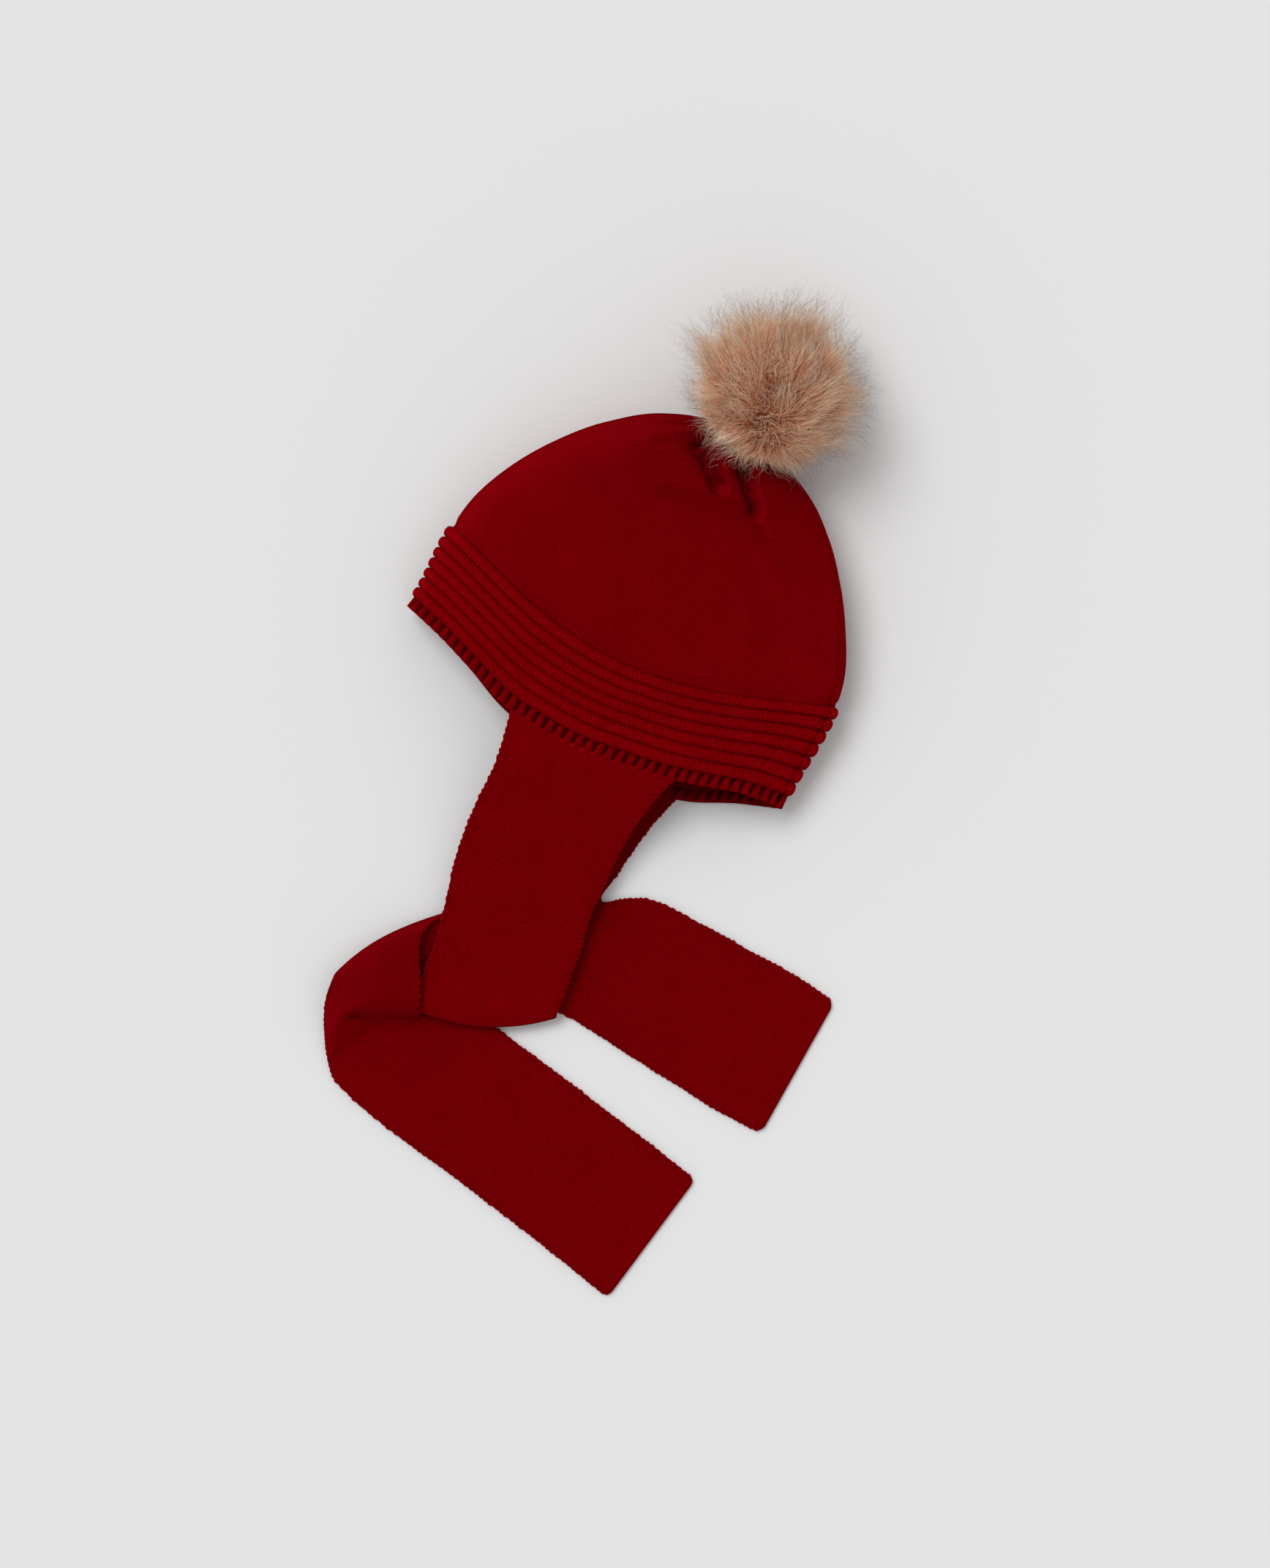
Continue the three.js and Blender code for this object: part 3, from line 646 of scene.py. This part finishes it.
def selvedge_tree():
    """Small loops along a strip's selvedges, uneven in size, spacing and reach."""
    drift, uneven_scale = 9.0, 160.0
    by_size, least_size = 2.0, -0.1
    by_place, least_place = 2.2, -1.2
    tree, source, target = relief_tree("selvedge_loops", ["Pitch", "Reach"])
    place = add(tree, "GeometryNodeInputPosition").outputs[0]
    noise = {"Vector": place, "Scale": uneven_scale, "Detail": 2.0}
    uneven = add(tree, "ShaderNodeTexNoise", noise).outputs[0]
    turns = maths(tree, "MULTIPLY", named(tree, "course"), 2 * np.pi)
    turns = maths(tree, "DIVIDE", turns, source.outputs["Pitch"])
    turns = maths(tree, "MULTIPLY_ADD", uneven, drift, turns)
    wave = maths(tree, "MULTIPLY", maths(tree, "COSINE", turns), -0.5)
    size = maths(tree, "MULTIPLY_ADD", uneven, by_size, least_size)
    reach = maths(tree, "MULTIPLY", wave, size)
    reach = maths(tree, "ADD", reach, maths(tree, "MULTIPLY_ADD", uneven, by_place, least_place))
    sideways = named(tree, "sideways", "FLOAT_VECTOR")
    offset = scaled(tree, sideways, maths(tree, "MULTIPLY", reach, source.outputs["Reach"]))
    # How far a point lies in the gap between loops, kept as a groove for painted shade there
    gap = maths(tree, "MULTIPLY", maths(tree, "SUBTRACT", 0.5, wave), named(tree, "edge"))
    end_relief(tree, source, target, offset, maths(tree, "MULTIPLY", gap, 0.5))
    return tree


def fur_tree():
    """Tapered strands on a ball, leaning in locks, that lie over the crown and on the floor."""
    hemmed_in, free_from, shortest = 0.003, 0.028, 0.45
    lowest_rest, rest_spread = 0.0006, 0.003
    bend_power, taper_power, tip = 1.4, 0.6, 1.02
    wave_shift = 0.02
    inputs = [("Geometry", "Geometry"), ("Crown", "Object"), ("Seed", "Int")]
    for label in "Density Length Spread Comb Lean Stray Droop Width Wave".split():
        inputs.append((label, "Float"))
    inputs += [("Points", "Int"), ("Finish", "Material")]
    tree, source, target = new_tree("fur_strands", "GeometryNodeTree", inputs, GEOMETRY_OUT)
    given = source.outputs
    scatter = add(
        tree,
        "GeometryNodeDistributePointsOnFaces",
        {"Mesh": given["Geometry"], "Density": given["Density"], "Seed": given["Seed"]},
        distribute_method="RANDOM",
    )
    place = add(tree, "GeometryNodeInputPosition").outputs[0]
    points = stored(tree, scatter.outputs["Points"], "root", place, "FLOAT_VECTOR")
    points = stored(tree, points, "way", scatter.outputs["Normal"], "FLOAT_VECTOR")
    chance = add(tree, "FunctionNodeRandomValue", {"Seed": given["Seed"]}, data_type="FLOAT")
    points = stored(tree, points, "strand", chance.outputs["Value"])
    crown = add(tree, "GeometryNodeObjectInfo", {"Object": given["Crown"]}).outputs["Geometry"]

    def crown_face(where):
        """The crown's outward direction nearest a place, and how far clear of it the place is."""
        found = []
        for kind in ("GeometryNodeInputNormal", "GeometryNodeInputPosition"):
            inputs = {"Mesh": crown, "Value": add(tree, kind).outputs[0], "Sample Position": where}
            sample = add(tree, "GeometryNodeSampleNearestSurface", inputs, data_type="FLOAT_VECTOR")
            found.append(sample.outputs["Value"])
        outward, surface = found
        gap = vectors(tree, "SUBTRACT", where, surface)
        clear = add(tree, "ShaderNodeVectorMath", {0: gap, 1: outward}, operation="DOT_PRODUCT")
        return outward, clear.outputs["Value"]

    near = {"Value": crown_face(place)[1], "From Min": hemmed_in, "From Max": free_from}
    near["To Min"] = shortest
    freedom = add(tree, "ShaderNodeMapRange", near).outputs[0]
    points = stored(tree, points, "freedom", freedom)
    line = add(tree, "GeometryNodeCurvePrimitiveLine", {"End": (0, 0, 0.01)}).outputs[0]
    inputs = {"Curve": line, "Count": given["Points"]}
    line = add(tree, "GeometryNodeResampleCurve", inputs).outputs[0]
    inputs = {"Points": points, "Instance": line}
    copies = add(tree, "GeometryNodeInstanceOnPoints", inputs).outputs[0]
    strands = add(tree, "GeometryNodeRealizeInstances", {"Geometry": copies}).outputs[0]
    along = add(tree, "GeometryNodeSplineParameter").outputs["Factor"]
    strands = stored(tree, strands, "along", along)
    root, strand = named(tree, "root", "FLOAT_VECTOR"), named(tree, "strand")
    parted = vectors(tree, "NORMALIZE", vectors(tree, "SUBTRACT", root, PARTING))
    combed = scaled(tree, parted, given["Comb"])
    way = vectors(tree, "ADD", named(tree, "way", "FLOAT_VECTOR"), combed)
    way = vectors(tree, "NORMALIZE", way)

    def swirl(scale, amount):
        """A direction that changes over the ball, the same for neighbouring roots."""
        noise = add(tree, "ShaderNodeTexNoise", {"Vector": root, "Scale": scale, "Detail": 1.0})
        centred = vectors(tree, "SUBTRACT", noise.outputs["Color"], (0.5, 0.5, 0.5))
        return scaled(tree, centred, amount)

    reach = maths(tree, "MULTIPLY_ADD", strand, given["Spread"], 1.0)
    reach = maths(tree, "MULTIPLY", given["Length"], reach)
    reach = maths(tree, "MULTIPLY", reach, named(tree, "freedom"))
    locks, strays = swirl(LOCK_SCALE, given["Lean"]), swirl(STRAY_SCALE, given["Stray"])
    lean = vectors(tree, "ADD", locks, strays)
    sag = maths(tree, "MULTIPLY", given["Droop"], -1.0)
    sag = add(tree, "ShaderNodeCombineXYZ", {"Z": sag}).outputs[0]
    bending = maths(tree, "POWER", along, bend_power)
    bend = scaled(tree, vectors(tree, "ADD", lean, sag), bending)
    shift = {"X": along, "Z": maths(tree, "MULTIPLY", strand, 2.0)}
    shift = add(tree, "ShaderNodeCombineXYZ", shift).outputs[0]
    moving = vectors(tree, "ADD", root, scaled(tree, shift, wave_shift))
    noise = {"Vector": moving, "Scale": WAVE_SCALE, "Detail": 0.0}
    waves = add(tree, "ShaderNodeTexNoise", noise).outputs["Color"]
    waves = vectors(tree, "SUBTRACT", waves, (0.5, 0.5, 0.5))
    waves = scaled(tree, waves, maths(tree, "MULTIPLY", along, given["Wave"]))
    path = vectors(tree, "ADD", vectors(tree, "ADD", scaled(tree, way, along), bend), waves)
    spot = vectors(tree, "ADD", root, scaled(tree, path, reach))
    face, clear = crown_face(spot)
    rest = maths(tree, "MULTIPLY_ADD", strand, rest_spread, lowest_rest)
    lift = maths(tree, "MAXIMUM", maths(tree, "SUBTRACT", rest, clear), 0.0)
    spot = vectors(tree, "ADD", spot, scaled(tree, face, lift))
    spot = vectors(tree, "MAXIMUM", spot, (FAR_OFF, FAR_OFF, FUR_GAP))
    inputs = {"Geometry": strands, "Position": spot}
    placed = add(tree, "GeometryNodeSetPosition", inputs).outputs[0]
    taper = maths(tree, "POWER", maths(tree, "SUBTRACT", tip, along), taper_power)
    radius = maths(tree, "MULTIPLY", taper, maths(tree, "MULTIPLY", given["Width"], 0.5))
    circle = add(tree, "GeometryNodeCurvePrimitiveCircle", {"Resolution": 3, "Radius": 1.0})
    inputs = {"Curve": placed, "Profile Curve": circle.outputs["Curve"], "Scale": radius}
    mesh = add(tree, "GeometryNodeCurveToMesh", inputs).outputs[0]
    finished(tree, mesh, source, target)
    return tree


def grown(name, base, tree, finish, **values):
    """A piece made by running a tree on a base mesh, as a plain mesh."""
    piece = bpy.data.objects.new(name, base)
    bpy.context.scene.collection.objects.link(piece)
    modifier = piece.modifiers.new(tree.name, "NODES")
    modifier.node_group = tree
    values["Finish"] = finish
    for item in tree.interface.items_tree:
        if item.in_out == "INPUT" and item.name in values:
            modifier[item.identifier] = values[item.name]
    graph = bpy.context.evaluated_depsgraph_get()
    evaluated = piece.evaluated_get(graph)
    mesh = bpy.data.meshes.new_from_object(
        evaluated, preserve_all_data_layers=True, depsgraph=graph
    )
    piece.modifiers.remove(modifier)
    piece.data = mesh
    mesh.name = name
    return piece


# Finishes

# Knit ramp: its dark and lit ends are partly the wool's uneven tone, partly painted shade and
# painted light
KNIT_DEEP_AND_SHADED = (0.047, 0.0001, 0.0006, 1)
KNIT_RED = (0.282, 0.0003, 0.0018, 1)
KNIT_LIT = (0.45, 0.0008, 0.006, 1)
FUR_DEEP = (0.45, 0.13, 0.05, 1)
FUR_TAN = (1.0, 0.43, 0.215, 1)
FUR_PALE = (1.0, 0.66, 0.42, 1)
FUR_BRIGHT = (1.0, 0.82, 0.64, 1)
FUR_GREY = (0.14, 0.07, 0.05, 1)
GUARD_GREY = (0.2, 0.13, 0.11, 1)
GUARD_PALE = (0.75, 0.5, 0.38, 1)
FLOOR_PALE = (0.8, 0.8, 0.8, 1)

STITCHES_IN = [("Stitches", "Vector")]
HEIGHT_OUT = [("Height", "Float")]


def plain_stitches():
    """Plain knit: two slanted legs to a stitch, from a map counted in stitches."""
    slope, arch_share = 1.6, 0.4
    tree, source, target = new_tree("plain_stitches", "ShaderNodeTree", STITCHES_IN, HEIGHT_OUT)
    part = add(tree, "ShaderNodeSeparateXYZ", {"Vector": source.outputs["Stitches"]})
    off_middle = maths(tree, "SUBTRACT", maths(tree, "FRACT", part.outputs["X"]), 0.5)
    off_middle = maths(tree, "ABSOLUTE", off_middle)
    leg = maths(tree, "MULTIPLY_ADD", off_middle, 4.0, -1.0)
    leg = maths(tree, "SUBTRACT", 1.0, maths(tree, "MULTIPLY", leg, leg))
    slant = maths(tree, "MULTIPLY_ADD", off_middle, slope, part.outputs["Y"])
    slant = maths(tree, "FRACT", slant)
    arch = maths(tree, "MULTIPLY_ADD", slant, 2.0, -1.0)
    arch = maths(tree, "SUBTRACT", 1.0, maths(tree, "MULTIPLY", arch, arch))
    arch = maths(tree, "MULTIPLY_ADD", arch, arch_share, 1 - arch_share)
    height = maths(tree, "MULTIPLY", leg, arch)
    tree.links.new(height, target.inputs["Height"])
    return tree


def purl_stitches():
    """Purl knit: oval bumps, each row half a stitch along from the last and let into it."""
    tallness = 1.3
    tree, source, target = new_tree("purl_stitches", "ShaderNodeTree", STITCHES_IN, HEIGHT_OUT)
    part = add(tree, "ShaderNodeSeparateXYZ", {"Vector": source.outputs["Stitches"]})
    bumps = []
    for offset in (0.0, 0.5):
        along = maths(tree, "FRACT", maths(tree, "ADD", part.outputs["X"], offset))
        along = maths(tree, "MULTIPLY_ADD", along, 2.0, -1.0)
        up = maths(tree, "FRACT", maths(tree, "MULTIPLY_ADD", part.outputs["Y"], 0.5, offset))
        up = maths(tree, "MULTIPLY_ADD", up, 2 * tallness, -tallness)
        along, up = maths(tree, "MULTIPLY", along, along), maths(tree, "MULTIPLY", up, up)
        bumps.append(maths(tree, "SUBTRACT", 1.0, maths(tree, "ADD", along, up)))
    highest = maths(tree, "MAXIMUM", *bumps)
    tree.links.new(maths(tree, "MAXIMUM", highest, 0.0), target.inputs["Height"])
    return tree


def knit(name, stitches, relief, groove_painted_shade):
    """Matte red wool with painted shade: darker between stitches and in grooves, each stitch a
    little different.
    """
    patch_scale, fibre_scale, stitch_height = 45.0, 1500.0, 0.0007
    painted_stitch_shade, least, by_fibre, by_stitch, by_patch = 0.42, 0.12, 0.3, 0.14, 0.2
    material = bpy.data.materials.new(name)
    material.use_nodes = True
    tree = material.node_tree
    shader = tree.nodes["Principled BSDF"]
    place = add(tree, "ShaderNodeUVMap", uv_map="stitches").outputs["UV"]
    pattern = add(tree, "ShaderNodeGroup", node_tree=stitches)
    tree.links.new(place, pattern.inputs["Stitches"])
    height = pattern.outputs["Height"]
    spot = add(tree, "ShaderNodeTexCoord").outputs["Object"]
    noise = {"Vector": spot, "Scale": patch_scale, "Detail": 3.0}
    patches = add(tree, "ShaderNodeTexNoise", noise).outputs[0]
    noise = {"Vector": spot, "Scale": fibre_scale, "Detail": 2.0}
    fibres = add(tree, "ShaderNodeTexNoise", noise).outputs[0]
    stitch = {"Vector": vectors(tree, "FLOOR", place)}
    each = add(tree, "ShaderNodeTexWhiteNoise", stitch, noise_dimensions="2D").outputs["Value"]
    # Painted shade and light: lighter on the stitches' tops, darker between them; fibres, stitches
    # and patches add the wool's own uneven tone
    light = maths(tree, "MULTIPLY_ADD", height, painted_stitch_shade, least)
    light = maths(tree, "MULTIPLY_ADD", fibres, by_fibre, light)
    light = maths(tree, "MULTIPLY_ADD", maths(tree, "SUBTRACT", each, 0.5), by_stitch, light)
    light = maths(tree, "MULTIPLY_ADD", maths(tree, "SUBTRACT", patches, 0.5), by_patch, light)
    # Painted shade: darker in the grooves of welts, ribs and selvedge loops, by how deep each point
    # lies in one
    groove = add(tree, "ShaderNodeAttribute", attribute_name="groove").outputs["Fac"]
    unshaded_share = maths(tree, "SUBTRACT", 1.0, maths(tree, "MULTIPLY", groove, groove_painted_shade))
    shade = add(tree, "ShaderNodeValToRGB", {"Fac": maths(tree, "MULTIPLY", light, unshaded_share)})
    ramp = shade.color_ramp.elements
    ramp[0].color = KNIT_DEEP_AND_SHADED
    ramp[1].color = KNIT_LIT
    ramp.new(0.5).color = KNIT_RED
    rough = maths(tree, "MULTIPLY_ADD", fibres, 0.4, maths(tree, "MULTIPLY", height, relief))
    bump = {"Strength": 1.0, "Distance": stitch_height, "Height": rough}
    bump = add(tree, "ShaderNodeBump", bump)
    tree.links.new(shade.outputs["Color"], shader.inputs["Base Color"])
    tree.links.new(bump.outputs["Normal"], shader.inputs["Normal"])
    shader.inputs["Roughness"].default_value = 0.9
    shader.inputs["Specular IOR Level"].default_value = 0.0
    shader.inputs["Sheen Weight"].default_value = 0.3
    shader.inputs["Sheen Roughness"].default_value = 0.3
    shader.inputs["Sheen Tint"].default_value = (1.0, 0.004, 0.03, 1)
    return material


def fur(name, deep, middle, pale, grey, grey_from):
    """Fur: darker at the roots, pale towards the tips, and its last share of strands greyish."""
    lock_scale, by_lock, by_strand = 90.0, 0.9, 0.65
    middle_at, pale_at, grey_over, greyest = 0.4, 0.95, 0.05, 0.8
    material = bpy.data.materials.new(name)
    material.use_nodes = True
    tree = material.node_tree
    shader = tree.nodes["Principled BSDF"]
    along = add(tree, "ShaderNodeAttribute", attribute_name="along").outputs["Fac"]
    strand = add(tree, "ShaderNodeAttribute", attribute_name="strand").outputs["Fac"]
    spot = add(tree, "ShaderNodeTexCoord").outputs["Object"]
    noise = {"Vector": spot, "Scale": lock_scale, "Detail": 2.0}
    locks = add(tree, "ShaderNodeTexNoise", noise).outputs[0]
    uneven = maths(tree, "MULTIPLY_ADD", maths(tree, "SUBTRACT", locks, 0.5), by_lock, along)
    uneven = maths(tree, "MULTIPLY_ADD", maths(tree, "SUBTRACT", strand, 0.5), by_strand, uneven)
    shade = add(tree, "ShaderNodeValToRGB", {"Fac": uneven})
    ramp = shade.color_ramp.elements
    ramp[0].color = deep
    ramp[1].color = pale
    ramp[1].position = pale_at
    ramp.new(middle_at).color = middle
    limits = {"Value": strand, "From Min": grey_from, "From Max": grey_from + grey_over}
    limits["To Max"] = greyest
    grey_share = add(tree, "ShaderNodeMapRange", limits).outputs[0]
    grey_share = maths(tree, "MULTIPLY", grey_share, along)
    factor, colour_a, colour_b, colour_out = 0, 6, 7, 2
    colours = {factor: grey_share, colour_a: shade.outputs["Color"], colour_b: grey}
    mixed = add(tree, "ShaderNodeMix", colours, data_type="RGBA")
    tree.links.new(mixed.outputs[colour_out], shader.inputs["Base Color"])
    shader.inputs["Roughness"].default_value = 0.35
    shader.inputs["Specular IOR Level"].default_value = 0.5
    return material


def plain_floor():
    """A pale, matt floor."""
    material = bpy.data.materials.new("pale_floor")
    material.use_nodes = True
    shader = material.node_tree.nodes["Principled BSDF"]
    shader.inputs["Base Color"].default_value = FLOOR_PALE
    shader.inputs["Roughness"].default_value = 0.9
    shader.inputs["Specular IOR Level"].default_value = 0.0
    return material


plain, purl = plain_stitches(), purl_stitches()
# The last number of each knit is how strongly painted shade darkens its grooves
plain_knit = knit("plain_red_knit", plain, 1.0, 0.85)
purl_knit = knit("purl_red_knit", purl, 1.3, 0.7)
tan_fur = fur("tan_fur", FUR_DEEP, FUR_TAN, FUR_PALE, FUR_GREY, 0.9)
pale_fur = fur("pale_fur", FUR_TAN, FUR_PALE, FUR_BRIGHT, FUR_GREY, 0.92)
guard_hair = fur("guard_hair", FUR_TAN, FUR_PALE, GUARD_PALE, GUARD_GREY, 0.35)


# The knitted pieces


def gather_relief(rows, turn):
    """The gathers that run down from the tip, and the dip beside the last welt."""
    past_seam, dip_width = 1.5, 2.2
    closing = TIP - GATHERS_CLOSE
    grown_share = ease(rows, GATHERS_START, closing) * (1 - ease(rows, closing, TIP))
    valley = SEAM_DIP * np.exp(-(((rows - CROWN_START - past_seam) / dip_width) ** 2))
    return -GATHER_DEPTH * grown_share * (0.5 + 0.5 * np.cos(GATHERS * turn)) - valley


ribs, welts, loops = ribs_tree(), welts_tree(), selvedge_tree()
crown_mesh = hat_skin(
    "crown_knit",
    np.linspace(CROWN_START - SEAM_OVERLAP, TIP, CROWN_MESH[0]),
    np.linspace(CROWN_START - SEAM_OVERLAP, TIP - GATHERS_CLOSE, CROWN_MESH[2]),
    CROWN_MESH[1],
    CROWN_START,
    gather_relief,
    {},
    domed=True,
)
crown_knit = bpy.data.objects.new("crown_knit", crown_mesh)
bpy.context.scene.collection.objects.link(crown_knit)
crown_mesh.materials.append(plain_knit)

band_width = CROWN_START - BAND_START
band_mesh = hat_skin(
    "band_knit",
    np.linspace(BAND_START, CROWN_START, BAND_MESH[0]),
    np.linspace(BAND_START, CROWN_START, BAND_MESH[2]),
    BAND_MESH[1],
    (BAND_START + CROWN_START) / 2,
    lambda rows, turn: 0,
    {
        "welt_share": lambda rows, shares, turn: (rows - BAND_START) / band_width,
        "fullness": lambda rows, shares, turn: 1 - FLATTENING * np.sin(turn) ** 2,
    },
    pitch=(PURL_PITCH, band_width / WELTS / PURL_ROWS),
)
rise = WELT_RISE / 1000
band_knit = grown("band_knit", band_mesh, welts, purl_knit, Welts=float(WELTS), Rise=rise)

edging_mesh = hat_skin(
    "edging_knit",
    np.linspace(RIM, BAND_START, EDGING_MESH[0]),
    np.linspace(RIM, BAND_START, EDGING_MESH[2]),
    EDGING_MESH[1],
    (RIM + BAND_START) / 2,
    lambda rows, turn: EDGING_LIFT,
    {
        "rib_phase": lambda rows, shares, turn: shares * RIBS,
        "up_share": lambda rows, shares, turn: rows / BAND_START,
    },
)
edging_knit = grown("edging_knit", edging_mesh, ribs, plain_knit, Depth=RIB_DEPTH / 1000)

ties = []
for name, rows, flap, upper in (
    ("near_tie_knit", NEAR_TIE, NEAR_FLAP, True),
    ("far_tie_knit", FAR_TIE, FAR_FLAP, False),
):
    tie_base, tie_rows = tie_mesh(name, rows, flap, upper, TIE_CORNER)
    reach = SELVEDGE_REACH / 1000
    tie = grown(name, tie_base, loops, plain_knit, Pitch=SELVEDGE_PITCH, Reach=reach)
    widths = np.hypot(tie_rows["lx"] - tie_rows["rx"], tie_rows["ly"] - tie_rows["ry"]) / 1000
    ties.append((tie, tie_rows["at"] / 1000, widths))
near_tie, far_tie = ties[0][0], ties[1][0]


# The pompom

centre = np.array(POMPOM_CENTRE) - (0, ORIGIN_HEIGHT, 0)
skin_rows, skin_columns = SKIN_MESH
skin_turns, _ = even_turns(skin_columns, CROWN_START)
skin_levels = np.linspace(CROWN_START, TIP, skin_rows)
skin_rings = hat_point(skin_levels[:, None], skin_turns[None, :])
skin_uv = np.zeros((skin_rows, skin_columns + 1, 2))
skin_mesh = ring_mesh("crown_skin", skin_rings, skin_uv, {}, hubs=((skin_rows - 1, True),))
crown_skin = bpy.data.objects.new("crown_skin", skin_mesh)
bpy.context.scene.collection.objects.link(crown_skin)
nearest = BVHTree.FromPolygons(
    [vertex.co for vertex in skin_mesh.vertices],
    [polygon.vertices for polygon in skin_mesh.polygons],
)


def fur_ball(radius):
    """A closed ball pressed flat against the crown, and its open part that the fur grows on."""
    shape = bmesh.new()
    bmesh.ops.create_icosphere(shape, subdivisions=5, radius=radius / 1000)
    bmesh.ops.translate(shape, verts=shape.verts, vec=Vector(centre / 1000))
    pressed = []
    for vertex in shape.verts:
        spot, normal, _, _ = nearest.find_nearest(vertex.co)
        if (vertex.co - spot).dot(normal) < FUR_GAP:
            vertex.co = spot + normal * FUR_GAP
            pressed.append(vertex)
    ball = bpy.data.meshes.new("pompom_core")
    shape.to_mesh(ball)
    bmesh.ops.delete(shape, geom=pressed, context="VERTS")
    bare = bpy.data.meshes.new("fur_ground")
    shape.to_mesh(bare)
    shape.free()
    ball.polygons.foreach_set("use_smooth", np.ones(len(ball.polygons), dtype=bool))
    return ball, bare


core_mesh, fur_ground = fur_ball(CORE_RADIUS)
core_mesh.materials.append(tan_fur)
pompom_core = bpy.data.objects.new("pompom_core", core_mesh)
bpy.context.scene.collection.objects.link(pompom_core)

strands = fur_tree()
FUR_COATS = columns(
    "seed density length spread comb lean stray droop width wave points",
    [
        (1, 0.90, 6.5, 0.3, 1.0, 1.3, 0.6, 0.05, 0.46, 0.3, 5),
        (2, 0.90, 8.5, 0.4, 1.3, 1.8, 0.7, 0.08, 0.38, 0.4, 5),
        (3, 0.60, 12.0, 0.5, 1.7, 2.4, 0.6, 0.10, 0.30, 0.6, 5),
        (4, 0.38, 19.5, 0.40, 0.7, 1.3, 0.35, 0.46, 0.15, 0.9, 9),
    ],
)
coats = []
for i, finish in enumerate((tan_fur, tan_fur, pale_fur, guard_hair)):
    coat = {name.title(): float(value[i]) for name, value in FUR_COATS.items()}
    coat.update(Seed=int(coat["Seed"]), Points=int(coat["Points"]))
    coat["Density"] *= 1e6
    coat["Length"] /= 1000
    coat["Width"] /= 1000
    coats.append(grown(f"fur_coat_{i + 1}", fur_ground, strands, finish, Crown=crown_skin, **coat))
bpy.data.objects.remove(crown_skin)


# What the pieces stand for

for piece, node in (
    (crown_knit, "crown"),
    (band_knit, "welt_band"),
    (edging_knit, "brim_edging"),
    (near_tie, "tie_left"),
    (far_tie, "tie_right"),
    (pompom_core, "pompom"),
):
    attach(piece, "root")
    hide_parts(node)
for coat in coats:
    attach(coat, "root")


# Floor, light and camera

bpy.ops.mesh.primitive_plane_add(size=12)
floor = bpy.context.object
floor.name = "floor"
floor.data.materials.append(plain_floor())

WORLD_LIGHT = 0.58
SUN_LIGHT = 1.42
SUN_ANGLE = 0.55

scene = bpy.context.scene
scene.view_settings.view_transform = "Standard"
world = bpy.data.worlds.new("studio")
world.use_nodes = True
world.node_tree.nodes["Background"].inputs["Color"].default_value = (1, 1, 1, 1)
world.node_tree.nodes["Background"].inputs["Strength"].default_value = WORLD_LIGHT
scene.world = world

IMAGE_RIGHT = Vector((0.879, 0.4768, 0))
IMAGE_UP = Vector((-0.4768, 0.879, 0))
FRAME_CENTRE = Vector((0.0338, -0.1101, 0))
FRAME_HEIGHT = 0.729
LENS = 150
SENSOR = 36
LIGHT_FROM = IMAGE_RIGHT * -0.65 + IMAGE_UP * 0.7 + Vector((0, 0, 1.6))

lamp = bpy.data.lights.new("key_light", "SUN")
lamp.energy = SUN_LIGHT
lamp.angle = SUN_ANGLE
key_light = bpy.data.objects.new("key_light", lamp)
key_light.rotation_euler = LIGHT_FROM.to_track_quat("Z", "Y").to_euler()
scene.collection.objects.link(key_light)

camera_data = bpy.data.cameras.new("camera")
camera_data.lens = LENS
camera_data.sensor_width = SENSOR
camera = bpy.data.objects.new("camera", camera_data)
camera.location = FRAME_CENTRE + Vector((0, 0, FRAME_HEIGHT * LENS / SENSOR))
turn = Matrix((IMAGE_RIGHT, IMAGE_UP, Vector((0, 0, 1)))).transposed()
camera.rotation_euler = turn.to_euler()
scene.collection.objects.link(camera)
scene.camera = camera
